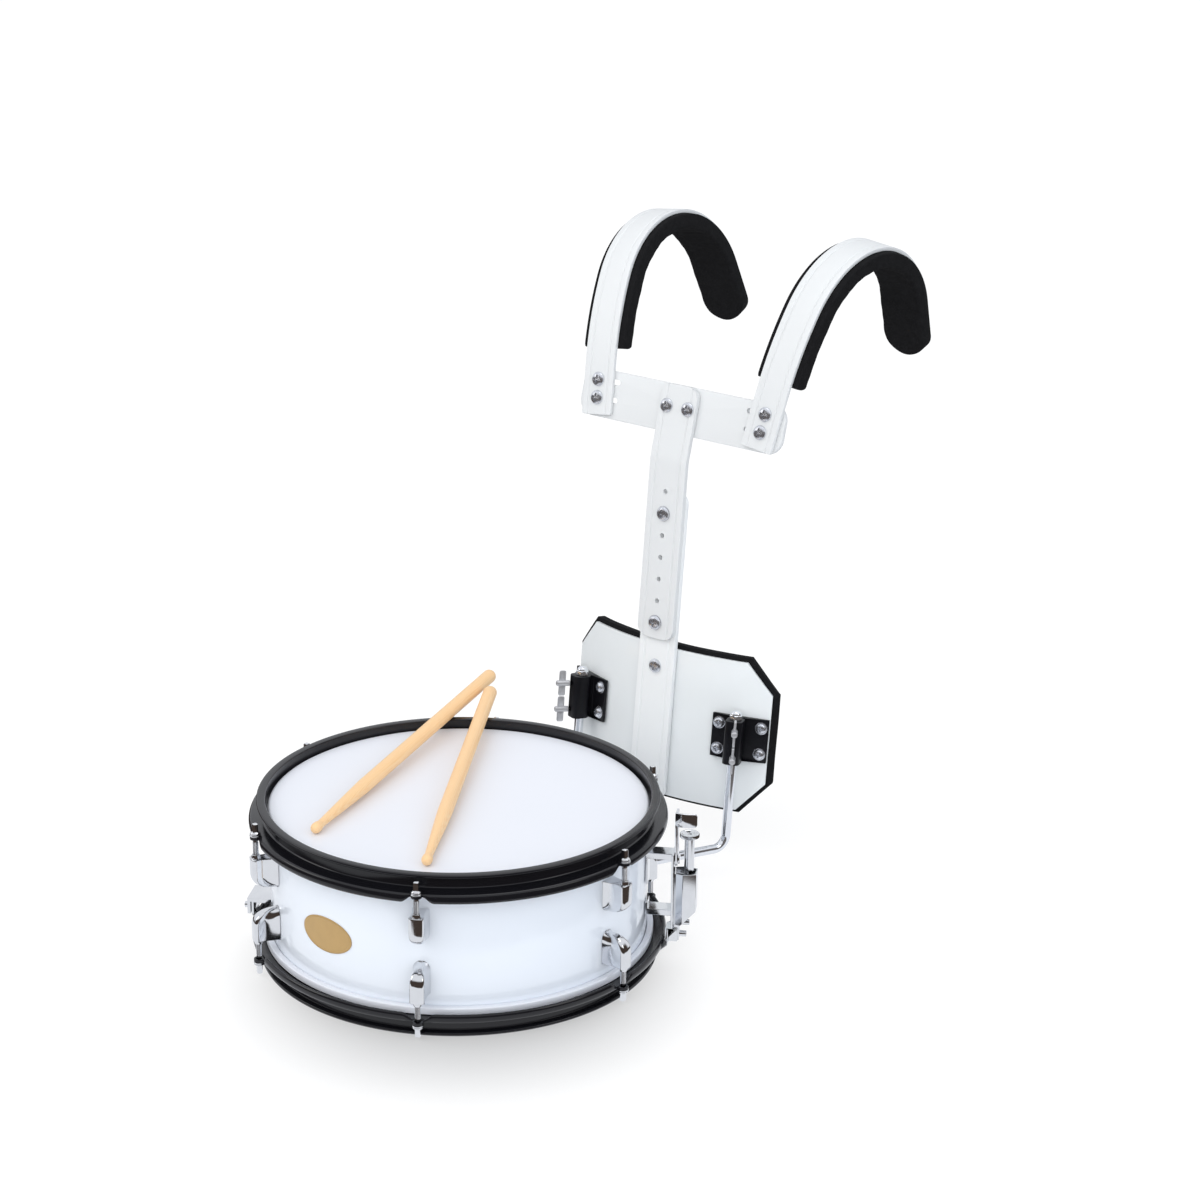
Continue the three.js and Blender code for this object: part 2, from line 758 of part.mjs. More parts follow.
// Throw-off lever: a flat plate on the pivot pin with a curved thumb tab folded outwards
function makeLever(frame) {
  const half = leverWidth / 2;
  const plate = new THREE.Shape();
  plate.moveTo(half, leverTop);
  plate.lineTo(-half, leverTop);
  plate.lineTo(-half, pivotHeight);
  plate.absarc(0, pivotHeight, half, halfTurn, 2 * halfTurn);
  plate.lineTo(half, leverTop);
  const face = strainerFace + clearance;
  const outer = face + leverThickness;
  const body = prismDeep(plate, [-outer, -face], 4);
  const middle = outer + tabReach / 2;
  const tip = outer + tabReach;
  const tab = [[-half, -face], [-half, -outer], [-half - tabBulge, -middle], [-half, -tip],
    [-half + tabThickness, -tip], [-half - tabBulge + tabThickness, -middle], [-half + tabThickness, -face]];
  const folded = prismUp(tab, [leverTop - tabHeight, leverTop]);
  const pivot = outward(0, pivotHeight, face - overrun, outer + overrun, pivotRadius + clearance, rodSides);
  place("strainer_lever", cut(join(body, folded), pivot), finish.chrome, frame);
}

// Butt plate opposite the strainer: a base, a shelf over the skirt and two jaws for the strap
function makeButtPlate(frame) {
  const half = buttWidth / 2;
  const jawBack = strapRadius - clearance - clampJaw;
  const jawFront = strapRadius + strapThickness + clearance;
  const across = [-half, half];
  const shelf = [buttShelfHeight, buttShelfHeight + buttShelfThickness];
  const body = join(
    block(across, [-seatRadius - basePlateThickness, -seatRadius], [buttShelfHeight, buttBaseTop]),
    block(across, [-jawFront - buttJaw, -seatRadius], shelf),
    block(across, [-jawFront - buttJaw, -jawBack], [clampFoot, shelf[1]]),
  );
  const slot = block([-half - overrun, half + overrun], [-jawFront, -strapRadius + clearance],
    [clampFoot - overrun, strapTop + clearance]);
  const screws = [-1, 1].map((side) => outward((side * half) / 2, (clampFoot + buttShelfHeight) / 2,
    jawFront + buttJaw / 2, jawFront + buttJaw + clampScrewLength / 2, clampScrewRadius, rodSides));
  place("butt_plate", join(cut(body, slot), ...screws), finish.chrome, frame);
}

function makeSnareSystem() {
  const strainer = turned(snareAngle);
  const butt = turned(snareAngle + 180);
  makeSnares(strainer);
  place("strainer_strap", strapBody(), finish.strapPlastic, strainer);
  place("butt_strap", strapBody(), finish.strapPlastic, butt);
  makeStrainerFrame(strainer);
  makeStrainerCover(strainer);
  makeStrainerSlide(strainer);
  makeKnob(strainer);
  makeLever(strainer);
  makeButtPlate(butt);
}

// The carrier leans back: its own frame has X across, Y deep and Z along the stems
const carrier = new THREE.Group();
carrier.position.y = carrierFootY;
carrier.rotation.x = -lowerLean * degree;
drum.add(carrier);

function carrierPoint(x, depth, up) {
  const turn = new THREE.Euler(-lowerLean * degree, 0, 0);
  return new THREE.Vector3(x, depth, up).applyEuler(turn).add(new THREE.Vector3(0, carrierFootY, 0));
}

// Flat bar with a groove along each edge; its section is X across and Y towards the front
function groovedSection(width, thickness) {
  const half = width / 2;
  const near = half - stemGrooveInset;
  const far = near - stemGrooveWidth;
  const middle = (near + far) / 2;
  const front = thickness - stemGrooveDepth;
  return [[-half, 0], [half, 0], [half, thickness], [near, thickness], [middle, front], [far, thickness],
    [-far, thickness], [-middle, front], [-near, thickness], [-half, thickness]];
}

function stemHoles(front, back, from, count) {
  return Array.from({ length: count }, (_, i) => {
    const up = from + i * holePitch;
    const start = new THREE.Vector3(0, front - overrun, up);
    return bar(start, new THREE.Vector3(0, back + overrun, up), holeRadius, holeSides);
  });
}

function makeLowerStem() {
  const back = 2 * stemThickness + clearance;
  const ends = [lowerStemFoot, lowerStemTop].map((up) => new THREE.Vector3(0, back, up));
  const body = sweep(groovedSection(stemWidth, stemThickness), ends);
  const half = stemWidth / 2;
  const outline = roundedPlate([-half, half], [lowerStemFoot, lowerStemTop], stemEndRadius);
  const rounded = body.intersect(prismDeep(outline, [stemThickness, back + overrun], 2));
  const holes = stemHoles(stemThickness, back, firstHole, holeCount - 1);
  place("lower_stem", cut(rounded, ...holes), finish.whitePaint, carrier);
}

// The upper stem bends back at its top to lie flat on the crossbar
function makeUpperStem() {
  const bend = extraLean * degree;
  const tangent = stemBendRadius * Math.tan(bend / 2);
  const stations = [new THREE.Vector3(0, stemThickness, upperStemFoot)];
  const steps = 3;
  for (let i = 0; i <= steps; i += 1) {
    const angle = (bend * i) / steps;
    const depth = stemThickness + stemBendRadius * (1 - Math.cos(angle));
    stations.push(new THREE.Vector3(0, depth, stemBend - tangent + stemBendRadius * Math.sin(angle)));
  }
  const top = new THREE.Vector3(0, Math.sin(bend), Math.cos(bend)).multiplyScalar(upperStemTop);
  stations.push(new THREE.Vector3(0, stemThickness, stemBend).add(top));
  const body = sweep(groovedSection(stemWidth, stemThickness), stations);
  const half = stemWidth / 2;
  const tip = stations.at(-1).z;
  const outline = roundedPlate([-half, half], [upperStemFoot, tip], stemEndRadius);
  const rounded = body.intersect(prismDeep(outline, [-overrun, stations.at(-1).y + stemThickness], 2));
  const holes = stemHoles(0, stemThickness, firstHole, holeCount);
  place("upper_stem", cut(rounded, ...holes), finish.whitePaint, carrier);
}

// Curved plate and its foam: a band of a cylinder with its corners cut off
function bellyBody(frontRadius, thickness, halfWidth, up, cutWidth, cutHeight) {
  const spread = Math.asin(halfWidth / frontRadius);
  const band = new THREE.Shape();
  band.absarc(0, bellyCentre, frontRadius, -halfTurn / 2 - spread, -halfTurn / 2 + spread);
  band.absarc(0, bellyCentre, frontRadius - thickness, -halfTurn / 2 + spread, -halfTurn / 2 - spread, true);
  const sheet = prismUp(band, up, bellySegments);
  const outline = [
    [-halfWidth + cutWidth, up[0]], [halfWidth - cutWidth, up[0]], [halfWidth, up[0] + cutHeight],
    [halfWidth, up[1] - cutHeight], [halfWidth - cutWidth, up[1]], [-halfWidth + cutWidth, up[1]],
    [-halfWidth, up[1] - cutHeight], [-halfWidth, up[0] + cutHeight],
  ];
  return sheet.intersect(prismDeep(outline, [bellyFront - overrun, bellyCentre]));
}

function makeBelly() {
  const plate = bellyBody(bellyRadius, bellyThickness, bellyHalfWidth, [bellyFoot, bellyTop],
    bellyCutWidth, bellyCutHeight);
  place("belly_plate", plate, finish.whitePaint, carrier);
  const padSpan = [bellyFoot - bellyPadMargin, bellyTop + bellyPadMargin];
  const pad = bellyBody(bellyRadius - bellyThickness - clearance, bellyPadThickness,
    bellyHalfWidth + bellyPadMargin, padSpan, bellyCutWidth + bellyPadExtraCut[0],
    bellyCutHeight + bellyPadExtraCut[1]);
  place("belly_pad", pad, finish.foam, carrier);
}

// Hinge bracket: a plate on the belly plate with an upright tube for the bent rod
function bracketBody(side) {
  const half = bracketWidth / 2;
  const up = [-bracketHeight / 2, bracketHeight / 2];
  const front = -clearance - bracketPlate;
  const x = -side * tubeShift;
  const plate = prismDeep(roundedPlate([-half, half], up, bracketPlate), [front, -clearance], 2);
  const web = block([x - tubeRadius, x + tubeRadius], [-tubeOffset, front + bracketPlate / 2], up);
  const tube = upright(x, -tubeOffset, up[0], up[1], tubeRadius, 2 * rodSides);
  const bore = upright(x, -tubeOffset, up[0] - overrun, up[1] + overrun, tubeBore, jRodSides);
  const turn = side * (wingTurn * degree - bracketAngle);
  const wingHoles = wingHeights().map((z) => {
    const axis = new THREE.Vector3(x, -tubeOffset, z);
    const run = new THREE.Vector3(Math.sin(turn), -Math.cos(turn), 0).multiplyScalar(tubeRadius + overrun);
    return bar(axis, axis.clone().add(run), wingStudRadius + clearance, rodSides);
  });
  return cut(join(plate, web, tube), bore, ...wingHoles);
}

function wingHeights() {
  return [wingSpacing / 2, -wingSpacing / 2];
}

// Wing screw: a stud that ends just short of the rod, a hub and two wings
function wingBody() {
  const tip = jRodRadius + 2 * clearance;
  const hubTop = tubeRadius + wingStudLength;
  const hubFoot = hubTop - wingHubLength;
  const stud = outward(0, 0, tip, hubTop - overrun, wingStudRadius, rodSides);
  const hub = outward(0, 0, hubFoot, hubTop, wingHubRadius, rodSides);
  const half = wingSpan / 2;
  const depth = [-hubTop + overrun, -hubTop + overrun + wingWidth];
  const wings = block([-wingThickness / 2, wingThickness / 2], depth, [-half, half]);
  return join(stud, hub, wings);
}

function makeBrackets() {
  for (const [side, label] of [[1, "left"], [-1, "right"]]) {
    const frame = new THREE.Group();
    frame.position.set(side * bracketX, bracketDepth, bracketMiddle);
    frame.rotation.z = side * bracketAngle;
    carrier.add(frame);
    place(`hinge_bracket_${label}`, bracketBody(side), finish.blackPaint, frame);
    wingHeights().forEach((z, i) => {
      const wing = place(`wing_screw_${label}_${i + 1}`, wingBody(), finish.chrome, carrier);
      wing.position.set(side * tubeX, tubeDepth, bracketMiddle + z);
      wing.rotation.z = side * wingTurn * degree;
    });
  }
}

// Corner where a bent rod turns from its upright leg towards the drum's axis
const rodCorner = carrierPoint(tubeX, tubeDepth, jRodCornerHeight);
const cornerRadius = Math.hypot(rodCorner.x, rodCorner.y);
const receiverAngle = 90 + Math.atan2(rodCorner.y, rodCorner.x) / degree;
const legSlope = (rodCorner.z - receiverAxisHeight) / (cornerRadius - seatRadius);

function legPoint(radius) {
  const share = radius / cornerRadius;
  const height = receiverAxisHeight + legSlope * (radius - seatRadius);
  return new THREE.Vector3(rodCorner.x * share, rodCorner.y * share, height);
}

// Bent rod: lower leg in the receiver, a round bend, upright leg through the tube, cap nut on top
function makeBentRods() {
  const top = carrierPoint(tubeX, tubeDepth, tubeTop + 2 * clearance);
  const start = legPoint(seatRadius + jRodEndGap);
  const along = new THREE.Vector3().subVectors(rodCorner, start).normalize();
  const rise = new THREE.Vector3().subVectors(top, rodCorner).normalize();
  const stations = [start];
  const steps = 6;
  const angle = Math.acos(along.dot(rise));
  const tangent = jRodBendRadius * Math.tan(angle / 2);
  const from = rodCorner.clone().addScaledVector(along, -tangent);
  const side = rise.clone().addScaledVector(along, -rise.dot(along)).normalize();
  for (let i = 0; i <= steps; i += 1) {
    const turn = (angle * i) / steps;
    const point = from.clone().addScaledVector(along, jRodBendRadius * Math.sin(turn));
    stations.push(point.addScaledVector(side, jRodBendRadius * (1 - Math.cos(turn))));
  }
  const capFoot = carrierPoint(tubeX, tubeDepth, tubeTop + clearance);
  const capMiddle = carrierPoint(tubeX, tubeDepth, tubeTop + clearance + capNutHeight / 2);
  const capTop = carrierPoint(tubeX, tubeDepth, tubeTop + clearance + capNutHeight);
  stations.push(top);
  const section = new THREE.Shape();
  section.absarc(0, 0, jRodRadius, 0, 2 * halfTurn);
  const across = new THREE.Vector3().crossVectors(along, rise).normalize();
  const rod = sweep(section, stations, across, jRodSides / 2);
  const nut = bar(capFoot, capMiddle, capNutRadius, 6);
  const dome = bar(capMiddle.clone().lerp(capFoot, 0.2), capTop, capNutRadius * 0.8, rodSides);
  const body = join(rod, nut, dome);
  place("bent_rod_left", body, finish.chrome);
  place("bent_rod_right", body.mirror([1, 0, 0]), finish.chrome);
}

// Receivers: a block on the shell, bored along the bent rod's lower leg
function makeReceivers() {
  const half = receiverWidth / 2;
  const outer = seatRadius + receiverDepth;
  const body = block([-half, half], [-outer, -seatRadius], [receiverFoot, receiverTop]);
  const heightAt = (radius) => receiverAxisHeight + legSlope * (radius - seatRadius);
  const boreEnds = [seatRadius + jRodEndGap - clearance, outer + overrun];
  const bore = bar(new THREE.Vector3(0, -boreEnds[0], heightAt(boreEnds[0])),
    new THREE.Vector3(0, -boreEnds[1], heightAt(boreEnds[1])), receiverBore, jRodSides);
  for (const [angle, label] of [[receiverAngle, "left"], [-receiverAngle, "right"]]) {
    place(`rod_receiver_${label}`, cut(body, bore), finish.chrome, turned(angle));
  }
}

// The crossbar, the shoulder bars and the pads lean further back than the stems
const yoke = new THREE.Group();
yoke.position.z = stemBend;
yoke.rotation.x = -extraLean * degree;
carrier.add(yoke);

function makeCrossbar() {
  const half = crossbarLength / 2;
  const up = [crossbarMiddle - crossbarHeight / 2, crossbarMiddle + crossbarHeight / 2];
  const plate = roundedPlate([-half, half], up, crossbarCorner);
  const front = stemThickness + clearance;
  const depth = [front, front + crossbarThickness];
  let body = prismDeep(plate, depth, 3);
  for (const side of [-1, 1]) {
    for (const rise of [upperSlotRise, -lowerSlotDrop]) {
      const x = [side * slotNear, side * slotFar].sort((a, b) => a - b);
      const z = [crossbarMiddle + rise - slotHeight / 2, crossbarMiddle + rise + slotHeight / 2];
      const slot = roundedPlate(x, z, slotHeight / 2 - clearance / 3);
      body = body.subtract(prismDeep(slot, [depth[0] - overrun, depth[1] + overrun], 2));
    }
  }
  place("crossbar", body, finish.whitePaint, yoke);
}

// Stations along the shoulder arch, offset inwards from the bar's back face
function archStations(offset, from, to) {
  const runs = [
    [shoulderStraight, 0, 1],
    [firstBendRadius * firstBendAngle * degree, 1 / firstBendRadius, firstBendSteps],
    [archRadius * archBendAngle * degree, 1 / archRadius, archSteps],
    [shoulderTail, 0, 1],
  ];
  const points = [];
  let depth = 0;
  let up = 0;
  let heading = 0;
  let travelled = 0;
  const total = runs.reduce((sum, run) => sum + run[0], 0);
  const put = () => {
    const shift = [offset * Math.cos(heading), offset * Math.sin(heading)];
    points.push(new THREE.Vector3(0, depth + shift[0], up - shift[1]));
  };
  const walk = (distance, bend) => {
    const middle = heading + (distance * bend) / 2;
    depth += distance * Math.sin(middle);
    up += distance * Math.cos(middle);
    heading += distance * bend;
  };
  const end = to ?? total;
  for (const [length, bend, steps] of runs) {
    for (let i = 0; i < steps; i += 1) {
      const next = travelled + length / steps;
      if (next > from && travelled < end) {
        if (!points.length) {
          walk(from - travelled, bend);
          travelled = from;
          put();
        }
        walk(Math.min(next, end) - travelled, bend);
        put();
      } else {
        walk(length / steps, bend);
      }
      travelled = next;
    }
  }
  return points;
}

function shoulderFrame(side) {
  const frame = new THREE.Group();
  frame.position.set(side * shoulderX, stemThickness, shoulderFoot);
  frame.rotation.y = side * shoulderTilt * degree;
  yoke.add(frame);
  return frame;
}

function padBody() {
  const half = padWidth / 2;
  const section = [[-half, 0], [-half, padEdge - padThickness], [padEdge - half, -padThickness],
    [half - padEdge, -padThickness], [half, padEdge - padThickness], [half, 0]];
  const stations = archStations(clearance, padStart);
  const tail = stations.at(-1).clone().sub(stations.at(-2)).normalize();
  const tip = stations.at(-1).clone().addScaledVector(tail, padOverhang);
  stations[stations.length - 1] = tip;
  const body = sweep(section, stations);
  const corner = new THREE.Shape();
  corner.moveTo(-half - overrun, -padEndRadius);
  corner.lineTo(-half - overrun, overrun);
  corner.lineTo(half + overrun, overrun);
  corner.lineTo(half + overrun, -padEndRadius);
  corner.lineTo(half, -padEndRadius);
  corner.absellipse(0, -padEndRadius, half, padEndRadius, 0, halfTurn);
  const inward = new THREE.Vector3(0, tail.z, -tail.y);
  const basis = new THREE.Matrix4().makeBasis(new THREE.Vector3(-1, 0, 0), tail, inward);
  const reach = padThickness + 2 * overrun;
  basis.setPosition(tip.clone().addScaledVector(inward, -reach / 2));
  return body.subtract(prism(corner, 1.5 * reach, basis, 5));
}

function makeShoulders() {
  for (const [side, label] of [[1, "left"], [-1, "right"]]) {
    const frame = shoulderFrame(side);
    const bent = sweep(groovedSection(shoulderWidth, shoulderThickness), archStations(0, 0));
    place(`shoulder_bar_${label}`, bent, finish.whitePaint, frame);
    place(`shoulder_pad_${label}`, padBody(), finish.foam, frame);
  }
}

// Turned stick: rounded butt, straight shaft, long taper, bead
function stickBody() {
  const bead = stickBeadLength;
  const shaftFrom = bead + stickTaperLength;
  const profile = [
    [0, 0],
    [stickBeadRadius * 0.7, bead * 0.12],
    [stickBeadRadius, bead * 0.45],
    [stickBeadRadius * 0.85, bead * 0.8],
    [stickNeckRadius, bead],
    [stickRadius, shaftFrom],
    [stickRadius, stickLength - stickButtRound],
    [stickRadius * 0.75, stickLength - stickButtRound * 0.25],
    [0, stickLength],
  ];
  return turnedProfile(profile, stickSides);
}

// A stick rests with its bead on the head and its shaft on the far rim
function layStick(name, [x, y], heading) {
  const turn = heading * degree;
  const low = batterTop + stickLift + stickBeadRadius;
  const high = drumHeight + stickLift + stickRadius;
  const rest = (hoopInner + hoopWallOuter) / 2 + rimRollWidth / 2;
  const along = x * Math.sin(turn) + y * Math.cos(turn);
  const run = -along + Math.sqrt(along ** 2 - (x ** 2 + y ** 2) + rest ** 2);
  const slope = Math.asin((high - low) / run);
  const mesh = place(name, stickBody(), finish.maple);
  const flat = Math.cos(slope);
  const direction = new THREE.Vector3(Math.sin(turn) * flat, Math.cos(turn) * flat, Math.sin(slope));
  mesh.quaternion.setFromUnitVectors(new THREE.Vector3(0, 0, 1), direction);
  mesh.position.set(x, y, low);
}

// The second stick's heading brings its butt beside the first stick, whatever their length
function besideHeading() {
  const turn = firstStickHeading * degree;
  const run = [secondStickTip[0] - firstStickTip[0], secondStickTip[1] - firstStickTip[1]];
  const apart = run[1] * Math.sin(turn) - run[0] * Math.cos(turn);
  return firstStickHeading + Math.asin((apart - buttOffset) / stickLength) / degree;
}

makeShell();
makeHeadsAndHoops();
makeLugsAndRods();
makeBadge();
makeSnareSystem();
makeBelly();
makeLowerStem();
makeUpperStem();
makeBrackets();
makeBentRods();
makeReceivers();
makeCrossbar();
makeShoulders();
layStick("stick_1", firstStickTip, firstStickHeading);
layStick("stick_2", secondStickTip, besideHeading());

// The origin is the middle of the whole object's box, on the floor
const whole = new THREE.Group();
whole.add(drum);
whole.updateMatrixWorld(true);
const bounds = new THREE.Box3().setFromObject(whole, true);
drum.position.set(-(bounds.min.x + bounds.max.x) / 2, -(bounds.min.y + bounds.max.y) / 2, -bounds.min.z);

export default whole;
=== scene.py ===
# %% [markdown]
# # A marching snare drum on its carrier
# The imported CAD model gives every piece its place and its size. This lesson dresses it: smooth
# surfaces worked out with numpy for the round and curved pieces, softened edges for the plates, the
# small fasteners, and a material for each finish. Lengths are in millimetres until a mesh is made.

# %% Load the fixed frame
import json
import math
import bmesh
import bpy
import numpy as np
from mathutils import Matrix, Vector


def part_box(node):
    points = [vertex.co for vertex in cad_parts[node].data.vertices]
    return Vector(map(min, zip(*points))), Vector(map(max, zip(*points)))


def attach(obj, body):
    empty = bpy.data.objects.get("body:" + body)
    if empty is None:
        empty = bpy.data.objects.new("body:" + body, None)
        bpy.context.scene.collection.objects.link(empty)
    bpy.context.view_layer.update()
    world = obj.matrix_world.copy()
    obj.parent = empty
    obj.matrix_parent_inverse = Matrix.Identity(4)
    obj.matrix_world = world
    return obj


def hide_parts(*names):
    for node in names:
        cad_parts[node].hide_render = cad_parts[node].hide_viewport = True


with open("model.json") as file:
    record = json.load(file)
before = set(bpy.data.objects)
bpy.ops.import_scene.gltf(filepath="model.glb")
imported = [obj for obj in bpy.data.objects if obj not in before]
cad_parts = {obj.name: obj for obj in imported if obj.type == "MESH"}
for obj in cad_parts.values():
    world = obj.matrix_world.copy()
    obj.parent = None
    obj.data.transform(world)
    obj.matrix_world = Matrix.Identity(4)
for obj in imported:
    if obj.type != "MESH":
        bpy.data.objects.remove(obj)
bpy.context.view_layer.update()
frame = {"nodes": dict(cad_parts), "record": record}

BODY_OF = {node: body for body, nodes in frame["record"]["behaviour"]["bodies"].items() for node in nodes}

# %% [markdown]
# ## The camera comes first
# The drum was photographed from the player's left of the audience side, a little from above, with a
# long lens. The camera's place was fitted to the two hoops, the tension rods and the carrier's holes,
# so it is written as a place, a point it looks at and a small roll, all measured from the drum's axis.

# %% Camera
MM = 0.001
shell_low, shell_high = (np.array(corner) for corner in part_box("shell"))
AXIS = (shell_low + shell_high) / 2
AXIS[2] = 0.0

CAMERA_PLACE = (1616.6, -1852.6, 1209.6)
CAMERA_AIM = (165.3, 0.0, 384.09)
CAMERA_ROLL = 0.624
PHOTO_SIDE = 1200.0
FOCAL_PIXELS = 2845.7
SENSOR = 36.0


def world_point(place):
    """A point in millimetres from the drum's axis, as metres in the frame."""
    return Vector(AXIS + np.array(place) * MM)


camera_data = bpy.data.cameras.new("studio_camera")
camera_data.sensor_width = SENSOR
camera_data.lens = FOCAL_PIXELS / PHOTO_SIDE * SENSOR
camera_data.clip_end = 200.0
camera = bpy.data.objects.new("studio_camera", camera_data)
bpy.context.collection.objects.link(camera)
place = world_point(CAMERA_PLACE)
aim = (world_point(CAMERA_AIM) - place).normalized()
turn = aim.to_track_quat("-Z", "Y").to_matrix().to_4x4()
roll = Matrix.Rotation(math.radians(CAMERA_ROLL), 4, "Z")
camera.matrix_world = Matrix.Translation(place) @ turn @ roll
bpy.context.scene.camera = camera
bpy.context.scene.view_settings.view_transform = "Standard"
print("lens", round(camera_data.lens, 2), "mm, distance", round((place - Vector(AXIS)).length, 3), "m")

# %% [markdown]
# ## Small tools for surfaces
# Almost every piece here is either turned round an axis, like a hoop, or a section carried along a
# path, like a bar. Both are a grid of points: one parameter runs round the section, the other along
# the path. One helper turns such a grid into faces, and another joins several grids into one piece,
# merges the doubled points at seams and poles, and turns the faces outwards.

# %% Grids of points and the meshes made from them
SIDES = ((1, "left"), (-1, "right"))
MERGE = 1e-6
BEVEL_ANGLE = math.radians(32)
FACING = Matrix.Rotation(math.radians(90), 4, "X")
IDENTITY = Matrix.Identity(4)


def grid_faces(rows, columns, close_rows=False, close_columns=False):
    """Quads between neighbours of a rows x columns grid; a closed direction wraps round."""
    r = np.arange(rows if close_rows else rows - 1)
    c = np.arange(columns if close_columns else columns - 1)
    r, c = np.meshgrid(r, c, indexing="ij")
    down, right = (r + 1) % rows, (c + 1) % columns
    quads = [r * columns + c, r * columns + right, down * columns + right, down * columns + c]
    return np.stack(quads, -1).reshape(-1, 4).tolist()


def points_of(x, y, z):
    """Points from three coordinates, of which some may be single values."""
    return np.stack(np.broadcast_arrays(x, y, z), -1)


def circle(count):
    """Angles once round."""
    return np.linspace(0.0, 2 * math.pi, count, endpoint=False)


def quarter(share):
    """Rises from 0 to 1 like a quarter of a circle: steep at first and level at the end."""
    return np.sqrt(1.0 - (1.0 - np.clip(share, 0.0, 1.0)) ** 2)


def crowded(length, count, first=0.0):
    """Distances up to a length that stand close together near its start."""
    return length * (1 - np.cos(np.linspace(first, math.pi / 2, count)))


def moved(points, matrix):
    """The points after a 4 x 4 matrix."""
    matrix = np.array(matrix)
    return np.asarray(points, float) @ matrix[:3, :3].T + matrix[:3, 3]


def frame_at(x=0.0, y=0.0, z=0.0, turn=0.0, axis="Z"):
    """A frame moved to a place and turned by some degrees about one axis."""
    return Matrix.Translation((x, y, z)) @ Matrix.Rotation(math.radians(turn), 4, axis)


class Solid:
    """Collects grids of points, in millimetres, into one closed mesh."""

    def __init__(self):
        self.points, self.faces, self.count = [], [], 0

    def add(self, points, faces, matrix=IDENTITY):
        points = moved(np.reshape(points, (-1, 3)), matrix)
        self.points.append(points)
        self.faces.extend([[i + self.count for i in face] for face in faces])
        self.count += len(points)
        return self

    def grid(self, points, close_rows=False, close_columns=False, matrix=IDENTITY):
        return self.add(points, grid_faces(*points.shape[:2], close_rows, close_columns), matrix)

    def tube(self, rings, matrix=IDENTITY):
        """A stack of closed rings, shut by a fan at each end."""
        ends = [np.repeat(ring.mean(0)[None], len(ring), 0) for ring in (rings[0], rings[-1])]
        return self.grid(np.concatenate([ends[0][None], rings, ends[1][None]]), False, True, matrix)


def solid_mesh(name, solid):
    """A mesh in metres in the frame: doubles merged, faces turned outwards."""
    mesh = bpy.data.meshes.new(name)
    mesh.from_pydata((np.concatenate(solid.points) * MM + AXIS).tolist(), [], solid.faces)
    work = bmesh.new()
    work.from_mesh(mesh)
    bmesh.ops.remove_doubles(work, verts=work.verts, dist=MERGE)
    bmesh.ops.recalc_face_normals(work, faces=work.faces)
    work.to_mesh(mesh)
    work.free()
    return mesh


def carve(mesh, cutter):
    """The mesh less a solid, by an exact Boolean."""
    made = bpy.data.objects.new("carved", mesh)
    tool = bpy.data.objects.new("cutter", solid_mesh("cutter", cutter))
    for item in (made, tool):
        bpy.context.collection.objects.link(item)
    boolean = made.modifiers.new("cut", "BOOLEAN")
    boolean.object = tool
    boolean.solver = "EXACT"
    boolean.operation = "DIFFERENCE"
    bpy.context.view_layer.update()
    result = bpy.data.meshes.new_from_object(made.evaluated_get(bpy.context.evaluated_depsgraph_get()))
    for item in (made, tool):
        bpy.data.objects.remove(item)
    return result


def dress(name, mesh, material, cad=None, body=None, sharp=38, bevel=0.0):
    """Give a mesh its shading, its material, a soft edge and the place of the CAD node it stands for."""
    mesh.polygons.foreach_set("use_smooth", np.ones(len(mesh.polygons), bool))
    mesh.set_sharp_from_angle(angle=math.radians(sharp))
    mesh.materials.clear()
    mesh.materials.append(material)
    piece = bpy.data.objects.new(name, mesh)
    bpy.context.collection.objects.link(piece)
    if bevel:
        edge = piece.modifiers.new("soft_edge", "BEVEL")
        edge.width = bevel * MM
        edge.segments = 2
        edge.limit_method = "ANGLE"
        edge.angle_limit = BEVEL_ANGLE
        edge.harden_normals = False
    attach(piece, body or BODY_OF[cad])
    if cad:
        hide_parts(cad)
    return piece


def finish_piece(name, solid, material, cad=None, body=None, sharp=38, bevel=0.0):
    """Make the object from its grids."""
    return dress(name, solid_mesh(name, solid), material, cad, body, sharp, bevel)


def softened(cad, material, bevel):
    """A copy of a CAD node, merged and with its flat areas joined, whose edges catch the light."""
    mesh = frame["nodes"][cad].data.copy()
    work = bmesh.new()
    work.from_mesh(mesh)
    bmesh.ops.remove_doubles(work, verts=work.verts, dist=2 * MERGE)
    bmesh.ops.dissolve_limit(work, angle_limit=math.radians(0.4), verts=work.verts, edges=work.edges)
    work.to_mesh(mesh)
    work.free()
    return dress(cad + "_formed", mesh, material, cad, sharp=30, bevel=bevel)


print("tools ready")

# %% [markdown]
# ## Shader nodes in few words
# Light, floor and finishes are all trees of shader nodes. A few helpers add a node, feed its inputs
# with values or with the outputs of other nodes, and hand back its outputs, so that a tree can be
# written like a formula.

# %% Shader nodes
NODE_STEP = 220


def feed(tree, socket, value):
    """Link an input to an output, or give it a value; a colour of three numbers gets its alpha."""
    if isinstance(value, bpy.types.NodeSocket):
        tree.links.new(value, socket)
    else:
        socket.default_value = (*value, 1.0) if socket.type == "RGBA" else value


def wire(tree, sockets, **named):
    """Feed several inputs by their names."""
    for name, value in named.items():
        feed(tree, sockets[name.replace("_", " ")], value)


def node(tree, kind, *values, **named):
    """Add a shader node: values for its first inputs, small names for settings, large ones for inputs."""
    made = tree.nodes.new("ShaderNode" + kind)
    made.location = (NODE_STEP * len(tree.nodes), 0)
    for name in [name for name in named if name[0].islower()]:
        setattr(made, name, named.pop(name))
    for socket, value in zip(made.inputs, values):
        feed(tree, socket, value)
    wire(tree, made.inputs, **named)
    return made.outputs


def maths(tree, operation, *values):
    """The result of a Math node."""
    return node(tree, "Math", *values, operation=operation)[0]


